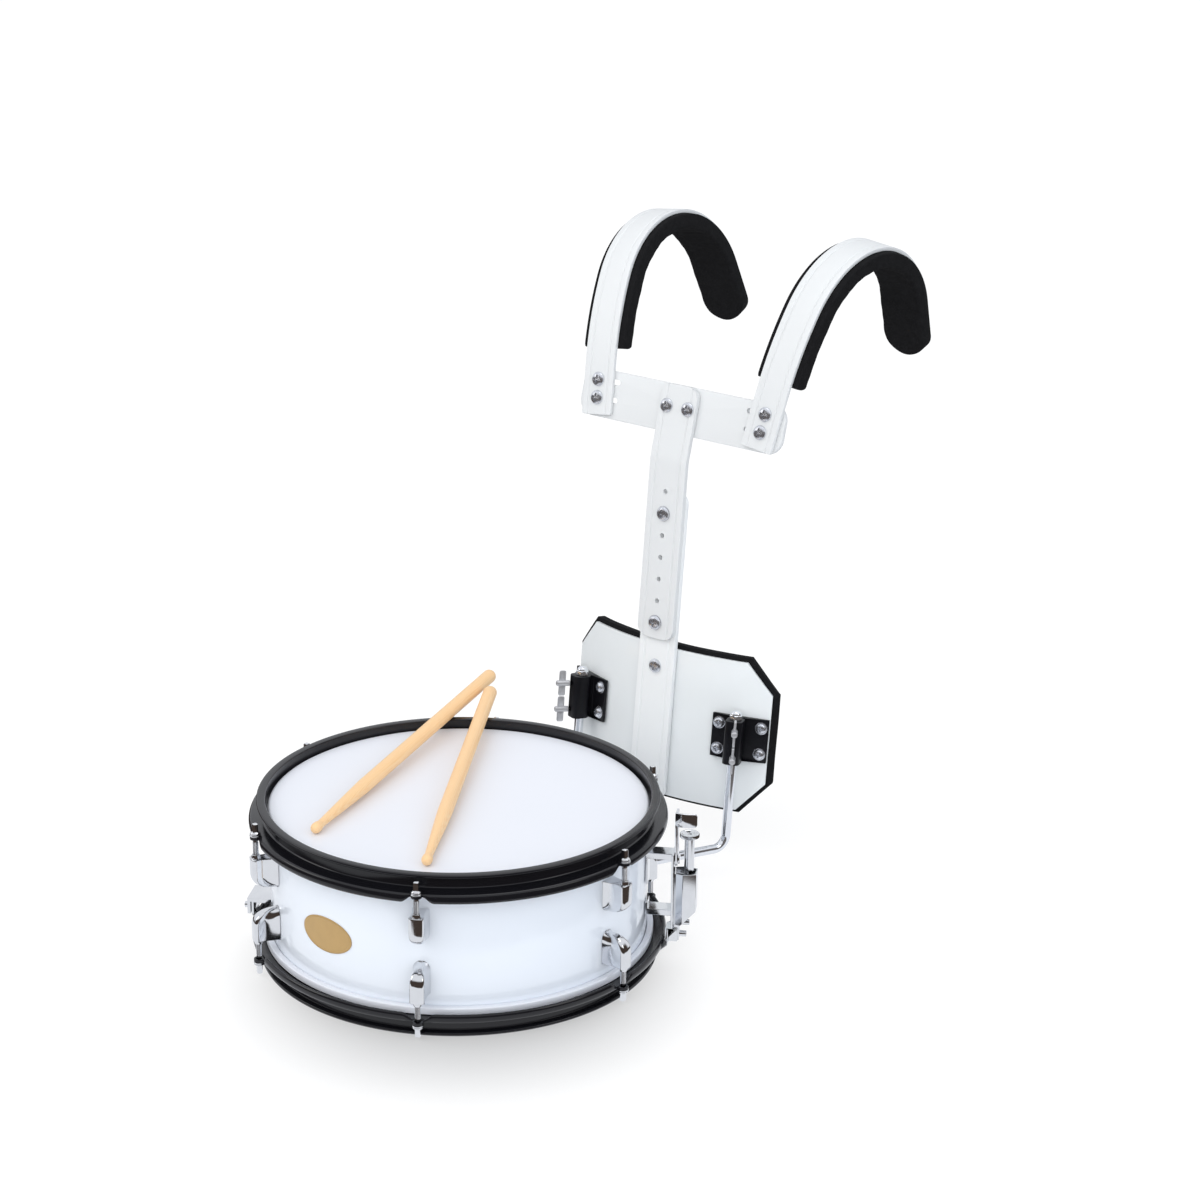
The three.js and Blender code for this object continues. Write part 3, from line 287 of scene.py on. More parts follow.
def vector_maths(tree, operation, *values):
    """The result of a Vector Math node, a number or a vector."""
    result = "Value" if operation in ("DOT_PRODUCT", "DISTANCE") else "Vector"
    return node(tree, "VectorMath", *values, operation=operation)[result]


def soft_step(tree, value, near, far):
    """A smooth step from 0 at one value to 1 at another."""
    return node(tree, "MapRange", value, near, far, interpolation_type="SMOOTHSTEP")[0]


def blended(tree, share, first, second):
    """A mix of two colours."""
    made = tree.nodes.new("ShaderNodeMix")
    made.data_type = "RGBA"
    for socket, value in ((0, share), (6, first), (7, second)):
        feed(tree, made.inputs[socket], value)
    return made.outputs[2]


def seen(tree, kind, others, mirrors, eye):
    """Ends a tree with one shader for the camera, one for glossy rays and one for all others."""
    path = node(tree, "LightPath")
    glossy = node(tree, "MixShader", path["Is Glossy Ray"], others, mirrors)
    node(tree, kind, node(tree, "MixShader", path["Is Camera Ray"], glossy[0], eye)[0])


# %% [markdown]
# ## Light and floor
# The photograph is a studio shot on white. Wide suns light the drum and the floor evenly, three
# soft boxes add highlights, and the world gives an even fill. The white of the backdrop is not made with
# more light: the world is plain white only to the camera, and the floor glows to the camera alone. The
# photograph's soft shadow is a round patch in front of the drum, so the glow fades towards a point there.
# The chrome and the black paint tell what stood round the drum: a white sheet under it, a pale backdrop
# behind it, a white ceiling, and a dark brown room on the camera's side. Reflected rays see that room,
# as a function of their direction in the world and of where they meet the floor.

# %% World and lamps
WHITE = (1.0, 1.0, 1.0)
FILL = 0.56
FILL_COLOUR = (0.94, 0.96, 1.0)
SUNS = {
    "key_sun": ((-0.5, -1.8, 2.0), 50.0, 0.85, WHITE),
    "front_sun": ((1.3, -1.9, 0.9), 60.0, 1.15, WHITE),
    "side_sun": ((2.2, 0.3, 0.8), 60.0, 0.55, (0.72, 0.84, 1.0)),
}
SOFTBOXES = {
    "left_softbox": ((-1.9, -1.6, 1.5), 1.3, 8.0),
    "right_softbox": ((2.3, 0.2, 1.6), 1.2, 5.0),
    "top_softbox": ((0.2, 0.7, 2.6), 1.8, 8.0),
}
LAMP_AIM = Vector((0.0, -0.1, 0.15))
BACKDROP_WAY = (-0.62, 0.785, 0.0)
BACKDROP_EDGE = (0.05, 0.35)
ROOM_BROWN = (0.060, 0.045, 0.038)
BACKDROP_WHITE = (0.86, 0.88, 0.92)
CEILING_EDGE = (0.45, 0.70)

world = bpy.data.worlds.new("studio_world")
bpy.context.scene.world = world
world.use_nodes = True
tree = world.node_tree
tree.nodes.clear()
way = node(tree, "TexCoord")["Generated"]
behind = soft_step(tree, vector_maths(tree, "DOT_PRODUCT", way, BACKDROP_WAY), *BACKDROP_EDGE)
above = soft_step(tree, node(tree, "SeparateXYZ", way)["Z"], *CEILING_EDGE)
room = blended(tree, maths(tree, "MAXIMUM", behind, above), ROOM_BROWN, BACKDROP_WHITE)
shades = [node(tree, "Background", *values)[0] for values in ((FILL_COLOUR, FILL), (room, 1.0), (WHITE, 1.0))]
seen(tree, "OutputWorld", *shades)


def aimed_lamp(name, kind, spot, power):
    """A lamp at a spot that looks at the drum; only the soft boxes show in mirrors."""
    data = bpy.data.lights.new(name, kind)
    data.energy = power
    lamp = bpy.data.objects.new(name, data)
    lamp.location = spot
    lamp.rotation_euler = (LAMP_AIM - Vector(spot)).to_track_quat("-Z", "Y").to_euler()
    lamp.visible_glossy = kind == "AREA"
    bpy.context.collection.objects.link(lamp)
    return data


for name, (spot, spread, power, colour) in SUNS.items():
    data = aimed_lamp(name, "SUN", spot, power)
    data.angle = math.radians(spread)
    data.color = colour
for name, (spot, size, power) in SOFTBOXES.items():
    data = aimed_lamp(name, "AREA", spot, power)
    data.shape = "DISK"
    data.size = size
print("lamps", len(SUNS) + len(SOFTBOXES))

# %% Floor
FLOOR_SIDE = 60.0
FLOOR_DROP = 0.0004
FLOOR_GLOW = 0.80
FLOOR_SHADE = (0.26, 0.26, 0.26)
FLOOR_PLAIN = (0.8, 0.8, 0.8)
SHADOW_CENTRE = (0.071, -0.071, 0.0)
SHADOW_NEAR, SHADOW_FAR, SHADOW_DEPTH = 0.085, 0.262, 0.52
SHEET_LEFT, SHEET_RIGHT, SHEET_FRONT = -0.425, 0.358, 0.348
SHEET_WAY = (0.8, -0.6, 0.0)
SHEET_WHITE = (0.88, 0.90, 0.94)
SHEET_SOFT = 0.02

floor_mesh = bpy.data.meshes.new("studio_floor")
half = FLOOR_SIDE / 2
corners = [(x * half, y * half, -FLOOR_DROP) for x, y in ((-1, -1), (1, -1), (1, 1), (-1, 1))]
floor_mesh.from_pydata(corners, [], [(0, 1, 2, 3)])
floor = bpy.data.objects.new("studio_floor", floor_mesh)
bpy.context.collection.objects.link(floor)
floor_paint = bpy.data.materials.new("studio_floor_paint")
floor_paint.use_nodes = True
tree = floor_paint.node_tree
tree.nodes.clear()
from_axis = vector_maths(tree, "SUBTRACT", node(tree, "TexCoord")["Object"], AXIS)
across = node(tree, "SeparateXYZ", from_axis)["X"]
forward = vector_maths(tree, "DOT_PRODUCT", from_axis, SHEET_WAY)
left = soft_step(tree, across, SHEET_LEFT, SHEET_LEFT + SHEET_SOFT)
right = soft_step(tree, across, SHEET_RIGHT, SHEET_RIGHT - SHEET_SOFT)
front = soft_step(tree, forward, SHEET_FRONT, SHEET_FRONT - SHEET_SOFT)
sheet = maths(tree, "MULTIPLY", maths(tree, "MULTIPLY", left, right), front)
mirrored = node(tree, "Emission", blended(tree, sheet, ROOM_BROWN, SHEET_WHITE), 1.0)

# A painted shadow: the camera-only glow is dimmed to SHADOW_DEPTH near SHADOW_CENTRE and comes back to full by
# SHADOW_FAR.
reach = vector_maths(tree, "DISTANCE", from_axis, SHADOW_CENTRE)
fade = node(tree, "MapRange", soft_step(tree, reach, SHADOW_NEAR, SHADOW_FAR), To_Min=SHADOW_DEPTH)
glow = node(tree, "Emission", WHITE, maths(tree, "MULTIPLY", fade[0], FLOOR_GLOW))
total = node(tree, "AddShader", node(tree, "BsdfDiffuse", FLOOR_SHADE)[0], glow[0])
seen(tree, "OutputMaterial", node(tree, "BsdfDiffuse", FLOOR_PLAIN)[0], mirrored[0], total[0])
floor_mesh.materials.append(floor_paint)
print("floor", FLOOR_SIDE, "m square")

# %% [markdown]
# ## Effects that several finishes share
# Real surfaces are never one flat value. Paint has a faint orange peel, chrome has fine wipe marks,
# foam has pores and wood has grain. Each effect is a node group with named inputs, built once and
# placed in each material with its own values. A group gives out only masks, values and normals.

# %% Node groups
def group(name, inputs, outputs):
    """An empty shader group: its tree, what its inputs give and what takes its results."""
    tree = bpy.data.node_groups.new(name, "ShaderNodeTree")
    for label, value in inputs.items():
        made = tree.interface.new_socket(name=label, in_out="INPUT", socket_type="NodeSocketFloat")
        made.default_value = value
    for label in outputs:
        kind = "NodeSocketVector" if label == "Normal" else "NodeSocketFloat"
        tree.interface.new_socket(name=label, in_out="OUTPUT", socket_type=kind)
    return tree, tree.nodes.new("NodeGroupInput").outputs, tree.nodes.new("NodeGroupOutput").inputs


# Uneven gloss: slow cloudy marks with fine wipe marks over them, and a bump from the fine ones
uneven, given, end = group("uneven_gloss", {"Roughness": 0.2, "Spread": 0.05, "Scale": 40.0, "Relief": 0.02},
                           ("Roughness", "Normal", "Mask"))
where = node(uneven, "TexCoord")["Object"]
cloud = node(uneven, "TexNoise", where, Scale=given["Scale"], Detail=3.0, Roughness=0.6)["Fac"]
finer = maths(uneven, "MULTIPLY", given["Scale"], 9.0)
fine = node(uneven, "TexNoise", where, Scale=finer, Detail=2.0, Roughness=0.5)["Fac"]
spread = maths(uneven, "MULTIPLY", maths(uneven, "SUBTRACT", cloud, 0.5), given["Spread"])
bump = node(uneven, "Bump", Strength=given["Relief"], Distance=0.0004, Height=fine)
wire(uneven, end, Roughness=maths(uneven, "ADD", spread, given["Roughness"]), Normal=bump[0], Mask=cloud)

# Foam: small closed cells as pores, and a softer unevenness
pores, given, end = group("foam_pores", {"Scale": 900.0, "Relief": 0.5}, ("Normal", "Mask"))
where = node(pores, "TexCoord")["Object"]
cells = node(pores, "TexVoronoi", where, Scale=given["Scale"])["Distance"]
clouds = node(pores, "TexNoise", where, Scale=160.0, Detail=4.0)["Fac"]
height = maths(pores, "MULTIPLY_ADD", cells, 0.6, clouds)
bump = node(pores, "Bump", Strength=given["Relief"], Distance=0.0006, Height=height)
wire(pores, end, Normal=bump[0], Mask=height)

# Wood grain: bands that run along the stick, read from the piece's own attribute
grain, given, end = group("turned_grain", {"Along": 0.03, "Rings": 0.55, "Relief": 0.1},
                          ("Figure", "Flecks", "Normal"))
own = node(grain, "Attribute", attribute_name="grain")["Vector"]
own = vector_maths(grain, "MULTIPLY", own, node(grain, "CombineXYZ", 1.0, 1.0, given["Along"])[0])
bands = node(grain, "TexWave", own, Scale=given["Rings"], Distortion=5.0, Detail=2.0, Detail_Scale=1.2,
             bands_direction="X")["Fac"]
fibre = node(grain, "TexNoise", own, Scale=4.5, Detail=4.0, Roughness=0.7)["Fac"]
bump = node(grain, "Bump", Strength=given["Relief"], Distance=0.0002, Height=fibre)
wire(grain, end, Figure=bands, Flecks=fibre, Normal=bump[0])
print("groups", [g.name for g in bpy.data.node_groups])

# %% [markdown]
# ## The finishes
# Gloss lacquer on the shell, plain film on the heads, black paint on the hoops, chrome on the small
# hardware, white powder coat on the carrier's aluminium, black foam, a gold badge and pale maple.
# Each one takes its small variations from the groups above.


def painted(name):
    """A new material, its tree and the inputs of its Principled shader."""
    made = bpy.data.materials.new(name)
    made.use_nodes = True
    return made, made.node_tree, made.node_tree.nodes["Principled BSDF"].inputs


def material(name, colour, roughness, metallic=0.0, spread=0.05, scale=40.0, relief=0.02, tint=0.0, **shader):
    """A Principled material whose roughness and normal come from the uneven gloss group.

    Its colour lies between the colour and the same colour darkened by tint, mixed by the cloudy mask."""
    made, tree, skin = painted(name)
    given = dict(Roughness=roughness, Spread=spread, Scale=scale, Relief=relief)
    marks = node(tree, "Group", node_tree=uneven, **given)
    mixed = blended(tree, marks["Mask"], colour, [c * (1.0 - tint) for c in colour])
    wire(tree, skin, Metallic=metallic, Base_Color=mixed, **shader)
    wire(tree, skin, Roughness=marks["Roughness"], Normal=marks["Normal"])
    return made


SHELL = material("shell_lacquer", (0.80, 0.845, 0.91), 0.14, 0.0, 0.03, 6.0, 0.03, 0.02,
                 Coat_Weight=0.6, Coat_Roughness=0.06)
PLY = material("shell_plies", (0.62, 0.46, 0.30), 0.55, 0.0, 0.05, 60.0, 0.2, 0.3)
FILM = material("head_film", (0.83, 0.85, 0.905), 0.32, 0.0, 0.06, 14.0, 0.05, 0.015)
HOOP = material("hoop_paint", (0.007, 0.007, 0.009), 0.16, 0.0, 0.05, 20.0, 0.04, Specular_IOR_Level=0.42)
CHROME = material("chrome", (0.80, 0.81, 0.83), 0.09, 1.0, 0.06, 120.0, 0.02, 0.08)
# A brighter, bluer copy of the chrome for the carrier's bent rods and cap nuts: a painted reflection of whiter
# surroundings than the drum's.
CHROME_PAINTED_REFLECTION = material("rod_chrome_painted_reflection", (0.86, 0.88, 0.92), 0.08, 0.9, 0.06, 120.0, 0.02, 0.08)
CAST = material("wing_nickel", (0.62, 0.62, 0.64), 0.34, 0.6, 0.12, 220.0, 0.1, 0.15)
ZINC = material("zinc_bolts", (0.76, 0.78, 0.83), 0.22, 0.9, 0.12, 300.0, 0.22, 0.15)
GOLD = material("badge_gold", (0.53, 0.345, 0.14), 0.36, 0.2, 0.08, 90.0, 0.05, 0.12)
WIRE = material("snare_steel", (0.62, 0.62, 0.63), 0.3, 1.0, 0.1, 400.0, 0.2)
STRAP = material("strap_plastic", (0.80, 0.81, 0.83), 0.45, 0.0, 0.08, 80.0, 0.1)
POWDER = material("carrier_powder", (0.72, 0.735, 0.74), 0.42, 0.0, 0.08, 260.0, 0.10, 0.01)
# A lighter copy of the carrier's powder coat for the lower stem: painted light, since the lower stem gets less
# light than the bars.
POWDER_PAINTED_LIGHTER = material("stem_powder_painted_lighter", (0.84, 0.86, 0.865), 0.42, 0.0, 0.08, 260.0, 0.10, 0.01)
PLATE = material("plate_powder", (0.80, 0.83, 0.84), 0.14, 0.0, 0.06, 120.0, 0.06, 0.02)
BLACK_STEEL = material("bracket_black", (0.006, 0.006, 0.008), 0.34, 0.0, 0.1, 150.0, 0.12,
                       Specular_IOR_Level=0.2)

FOAM, tree, skin = painted("foam_black")
cells = node(tree, "Group", node_tree=pores, Scale=700.0, Relief=0.6)
shade = blended(tree, cells["Mask"], (0.0035, 0.0035, 0.004), (0.011, 0.011, 0.012))
wire(tree, skin, Roughness=0.92, Specular_IOR_Level=0.12, Base_Color=shade, Normal=cells["Normal"])

MAPLE, tree, skin = painted("maple_lacquered")
rings = node(tree, "Group", node_tree=grain)
pale = blended(tree, rings["Figure"], (0.95, 0.60, 0.29), (0.99, 0.70, 0.40))
flecks = node(tree, "MapRange", rings["Flecks"], 0.3, 0.7, 0.0, 0.35)[0]
flecked = blended(tree, flecks, pale, (0.80, 0.48, 0.22))
wire(tree, skin, Roughness=0.42, Coat_Weight=0.05, Base_Color=flecked, Normal=rings["Normal"])
print("materials", len(bpy.data.materials))

# %% [markdown]
# ## Profiles, sections and paths
# A turned piece starts as a profile of radius and height. A drawn corner is never quite sharp on a
# real piece, so one helper replaces each corner by a true arc. A bar starts as a section, which is
# carried along its path: at each station, the section's x lies across and its y looks outwards.

# %% Rounded corners, turned profiles and carried sections
def unit(vectors):
    """The vectors at length 1."""
    return vectors / np.linalg.norm(vectors, axis=-1, keepdims=True)


def rounded(corners, setback, steps=4, closed=True):
    """Replace each corner by an arc: a rational curve from a setback before it to one after it."""
    corners = np.asarray(corners, float)
    before = np.roll(corners, 1, 0) - corners
    after = np.roll(corners, -1, 0) - corners
    limit = np.minimum(*[np.linalg.norm(side, axis=1, keepdims=True) for side in (before, after)]) * 0.48
    setback = np.minimum(np.broadcast_to(np.reshape(setback, (-1, 1)), limit.shape), limit)
    first, last = unit(before), unit(after)
    cosine = np.clip(-(first * last).sum(1, keepdims=True), -1.0, 1.0)
    weight = np.sqrt((1.0 + cosine) / 2.0)[:, None]
    t = np.linspace(0.0, 1.0, steps + 1)[None, :, None]
    start, end = (corners + first * setback)[:, None], (corners + last * setback)[:, None]
    share = (1 - t) ** 2, 2 * weight * t * (1 - t), t ** 2
    curve = (start * share[0] + corners[:, None] * share[1] + end * share[2]) / sum(share)
    if closed:
        return curve.reshape(-1, corners.shape[1])
    inner = curve[1:-1].reshape(-1, corners.shape[1])
    return np.concatenate([corners[:1], inner, corners[-1:]])


def turned(profile, sides):
    """Each (radius, height) of the profile goes round: x = r sin a, y = -r cos a."""
    profile = np.asarray(profile, float)
    angle = circle(sides)
    return points_of(profile[:, :1] * np.sin(angle), -profile[:, :1] * np.cos(angle), profile[:, 1:])


def carried(section, stations, across=(-1.0, 0.0, 0.0)):
    """The section's x along 'across' and its y along tangent x across, at every station."""
    stations, section = np.asarray(stations, float), np.asarray(section, float)
    steps = unit(np.diff(stations, axis=0))
    tangent = unit(np.concatenate([steps[:1], steps[:-1] + steps[1:], steps[-1:]]))
    across = np.asarray(across, float)
    outward = np.cross(tangent, across)
    return stations[:, None] + section[..., :1] * across + section[..., 1:] * outward[:, None]


def superellipse(radius, power, sides):
    """Points at a radius along the axes whose outline goes from circle to square with the power."""
    angle = circle(sides)
    cosine, sine = np.abs(np.cos(angle)), np.abs(np.sin(angle))
    reach = radius / (cosine ** power + sine ** power) ** (1.0 / power)
    return np.column_stack([reach * np.sin(angle), -reach * np.cos(angle)])


def pin(start, end, radius, sides=32):
    """Two rings of a round bar between two points."""
    start, end = np.asarray(start, float), np.asarray(end, float)
    along = unit(end - start)
    first = unit(np.cross(along, (0.31, 0.87, 0.38)))
    second = np.cross(along, first)
    angle = circle(sides)[:, None]
    ring = radius * (np.cos(angle) * first + np.sin(angle) * second)
    return np.array([start + ring, end + ring])


def eye_plate(hole, half, reach, round_side, corner, sides):
    """Radii and thickness shares of a plate round a hole: a circle on one side, a square end on the other."""
    angle = circle(sides)
    away, aside = round_side * np.cos(angle), np.abs(np.sin(angle)) + 1e-9
    edge = np.where(away > 0, half, np.minimum(half / aside, reach / (np.abs(away) + 1e-9)))
    share = rounded([(0, 0), (0, 1), (1, 1), (1, 0)], corner, 3)
    radius = hole + (edge[None] - hole) * share[:, :1]
    return radius * np.sin(angle), radius * np.cos(angle), share[:, 1:]


print("corner test", rounded([(0, 0), (1, 0), (1, 1)], 0.3).shape)

# %% [markdown]
# ## Shell and heads
# The shell is a tube of wood plies under white gloss lacquer, with its edges bevelled to carry the
# heads. Each head is a film with a collar that drops over the edge to a hidden ring. Both are turned
# profiles, with many more sides than the CAD solid needs, so that their outline stays round close up.

# %% Shell
RING_SIDES = 288
SHELL_RADIUS = 177.8
SHELL_WALL = 6.0
SHELL_LOW, SHELL_HIGH = shell_low[2] / MM, shell_high[2] / MM
EDGE_BEVEL = 3.0
DRUM_HEIGHT = SHELL_LOW + SHELL_HIGH

crest = SHELL_RADIUS - 1.0
lower_half = [(SHELL_RADIUS - SHELL_WALL, SHELL_LOW + EDGE_BEVEL), (crest - 1.0, SHELL_LOW),
              (crest, SHELL_LOW), (SHELL_RADIUS, SHELL_LOW + 1.0)]
profile = lower_half + [(r, DRUM_HEIGHT - z) for r, z in reversed(lower_half)]
solid = Solid().grid(turned(rounded(profile, 0.4, 2), RING_SIDES), True, True)
shell = finish_piece("shell_turned", solid, SHELL, "shell")
shell.data.materials.append(PLY)
centres = np.zeros(len(shell.data.polygons) * 3)
shell.data.polygons.foreach_get("center", centres)
centres = (centres.reshape(-1, 3) - AXIS) / MM
inside = np.hypot(centres[:, 0], centres[:, 1]) < SHELL_RADIUS - 1.5
shell.data.polygons.foreach_set("material_index", inside.astype(int))
print("shell", round(SHELL_HIGH - SHELL_LOW, 1), "mm long,", int(inside.sum()), "bare faces inside")

# %% Heads
FILM_THICKNESS = 0.5
BATTER_TOP = DRUM_HEIGHT - 8.0
COLLAR = 178.1
FLESH_TOP = BATTER_TOP - 10.5
FLESH_LOW = FLESH_TOP - 7.0
FLESH_OUT = COLLAR + 6.0
COLLAR_BEND = 3.0
FILM_EDGE = COLLAR - 12.0
# Turns a top piece upside down into its place at the bottom, as the CAD does
FLIP = frame_at(0, 0, DRUM_HEIGHT, 180, "Y")


def head_grid():
    """Film, bent collar and ring as one turned profile, with extra rings on the flat film."""
    film = np.linspace(0.0, FILM_EDGE, 24)
    under = BATTER_TOP - FILM_THICKNESS
    collar = COLLAR + FILM_THICKNESS
    outside = [(COLLAR - 10.0, BATTER_TOP), (collar, BATTER_TOP), (collar, FLESH_TOP), (FLESH_OUT, FLESH_TOP),
               (FLESH_OUT, FLESH_LOW), (COLLAR, FLESH_LOW), (COLLAR, under), (FILM_EDGE, under)]
    bend = rounded(outside, [1, COLLAR_BEND, 0.8, 0.8, 1.2, 0.6, COLLAR_BEND - FILM_THICKNESS, 1], 5, False)
    profile = [(r, BATTER_TOP) for r in film] + bend.tolist() + [(r, under) for r in film[::-1]]
    return turned(profile, RING_SIDES)


for side, matrix in (("batter", IDENTITY), ("snare", FLIP)):
    solid = Solid().grid(head_grid(), False, True, matrix)
    finish_piece(f"{side}_head_film", solid, FILM, f"{side}_head", sharp=50)
print("heads at", round(BATTER_TOP, 1), "mm and", round(DRUM_HEIGHT - BATTER_TOP, 1), "mm")

# %% [markdown]
# ## Hoops
# A pressed steel hoop has a rolled rim, an upright wall, a sloping ledge and a rounded skirt. The skirt
# is missing round each tension rod, where its ends curve up to the ledge. A turned profile can't do
# that alone, so two profiles are blended: one with the skirt and one without. How much of the skirt
# there is depends on the distance from the nearest rod, by a curve that starts and ends smoothly.

# %% Hoops
HOOP_SIDES = 720
HOOP_IN = COLLAR + FILM_THICKNESS + 2.0
HOOP_METAL = 2.2
HOOP_OUT = HOOP_IN + HOOP_METAL
RIM_OUT = HOOP_OUT + 6.0
SKIRT_OUT = HOOP_OUT + 13.5
LEDGE_LOW = FLESH_TOP + 0.3
LEDGE_TOP = LEDGE_LOW + HOOP_METAL
LEDGE_EDGE = SKIRT_OUT - 1.2
SKIRT_LOW = DRUM_HEIGHT - 25.0
ROD_CIRCLE = SHELL_RADIUS + 19.0
FIRST_LUG, LUG_STEP, LUGS = 30.0, 60.0, 6
LUG_FRAMES = [frame_at(turn=FIRST_LUG + LUG_STEP * i) for i in range(LUGS)]
NOTCH_HALF = 5.8
NOTCH_CURVE = 9.5
EAR_RADIUS = 5.0
EAR_HOLE = 3.1
EAR_THICKNESS = 2.8
EAR_BACK = ROD_CIRCLE - SKIRT_OUT + 5.0


def hoop_grid():
    """Blend of the profile without a skirt and the one with it; the share is a function of the angle."""
    top, low, out, edge = DRUM_HEIGHT, SKIRT_LOW, SKIRT_OUT, LEDGE_EDGE
    rim = [(HOOP_IN, top), (RIM_OUT, top), (RIM_OUT, top - 3.4), (HOOP_OUT, top - 3.8), (HOOP_OUT, LEDGE_TOP + 1.6)]
    skirt = ((0, 2.2), (2.0, 0), (3.6, 1.0), (2.4, 3.0), (2.4, LEDGE_LOW - low))
    lip = ((0, 0.9), (0.4, 0.4), (1.0, 0.2), (1.4, 0.1), (2.0, 0))
    full = [(out - 1.6, LEDGE_TOP), (out, LEDGE_TOP - 3.0)] + [(out - x, low + z) for x, z in skirt]
    none = [(edge - 1.4, LEDGE_TOP), (edge, LEDGE_TOP - 0.5)] + [(edge - x, LEDGE_LOW + z) for x, z in lip]
    bend = [1.1, 1.6, 1.6, 0.8, 2.2, 2.4, 2.6, 1.8, 1.6, 0.8, 0.8, 0.8, 0.5]
    full, none = (rounded(rim + part + [(HOOP_IN, LEDGE_LOW)], bend) for part in (full, none))
    angle = np.linspace(0.0, 360.0, HOOP_SIDES, endpoint=False)
    from_rod = np.abs((angle - FIRST_LUG + LUG_STEP / 2) % LUG_STEP - LUG_STEP / 2)
    inside = np.clip((np.radians(from_rod) * SKIRT_OUT - NOTCH_HALF) / NOTCH_CURVE, 0.0, 1.0)
    share = 0.12 + 0.88 * inside ** 1.5 * (2.5 - 1.5 * inside)
    profile = none[:, None] + (full - none)[:, None] * share[None, :, None]
    radians = np.radians(angle)
    return points_of(profile[..., 0] * np.sin(radians), -profile[..., 0] * np.cos(radians), profile[..., 1])


def hoop_solid(matrix):
    """The blended ring and its six ears, each a plate round the rod's hole."""
    solid = Solid().grid(hoop_grid(), True, True, matrix)
    aside, away, share = eye_plate(EAR_HOLE, EAR_RADIUS, EAR_BACK, 1, 0.12, 48)
    ear = points_of(aside, -ROD_CIRCLE - away, LEDGE_LOW + EAR_THICKNESS * share)
    for ring in LUG_FRAMES:
        solid.grid(ear, True, True, matrix @ ring)
    return solid


top_hoop, bottom_hoop = (
    finish_piece(f"{side}_hoop_pressed", hoop_solid(matrix), HOOP, f"{side}_hoop", sharp=60)
    for side, matrix in (("top", IDENTITY), ("bottom", FLIP)))
print("hoop faces", len(top_hoop.data.polygons))

# %% [markdown]
# The bottom hoop has two gates where the snare straps pass through its wall. A hole through a finished
# ring is easier cut than drawn, so a box is taken away with a Boolean modifier, which is then applied.

# %% Snare gates
SNARE_ANGLE = 120.0
GATE_HALF = 20.0
GATE_LOW, GATE_HIGH = 2.2, DRUM_HEIGHT - LEDGE_TOP - 1.4


def box_solid(low, high, matrix=IDENTITY):
    """A plain box between two corners."""
    corners = [(x, y, z) for x in (low[0], high[0]) for y in (low[1], high[1]) for z in (low[2], high[2])]
    faces = [(0, 1, 3, 2), (4, 6, 7, 5), (0, 4, 5, 1), (2, 3, 7, 6), (0, 2, 6, 4), (1, 5, 7, 3)]
    return Solid().add(np.array(corners), faces, matrix)


for angle in (SNARE_ANGLE, SNARE_ANGLE + 180.0):
    low, high = (-GATE_HALF, -RIM_OUT - 2, GATE_LOW), (GATE_HALF, -HOOP_IN + 2, GATE_HIGH)
    bottom_hoop.data = carve(bottom_hoop.data, box_solid(low, high, frame_at(turn=angle)))
bottom_hoop.data.set_sharp_from_angle(angle=math.radians(60))
print("bottom hoop faces", len(bottom_hoop.data.polygons))

# %% [markdown]
# ## Lugs and tension rods
# Each lug is a chromed casting with a flat top, a round front and hollowed sides. Its plan changes with
# height, so it is a stack of plan sections. The front comes back to the shell by a quarter of an ellipse
# and closes like half an ellipse, which makes the pointed arch seen on the lower lugs, while the back
# ends in a half circle. A screw head sits at the foot, and a cone holds the rod.

# %% Lug
SEAT = SHELL_RADIUS + 0.3
LUG_TOP = SHELL_HIGH - 28.2
LUG_HEIGHT = 32.0
LUG_REACH = ROD_CIRCLE + 5.0 - SEAT
BACK_HALF, FRONT_HALF, WAIST = 8.0, 7.0, 5.5
FRONT_BEND = 3.2
BODY_LEVEL, BODY_FOOT = 13.0, 31.0
FOOT_DEPTH = 1.2
CONE_FOOT, CONE_TIP, CONE_HEIGHT, CONE_BORE = 4.3, 3.4, 3.5, 2.9
SCREW_LEVEL = LUG_TOP - 29.6


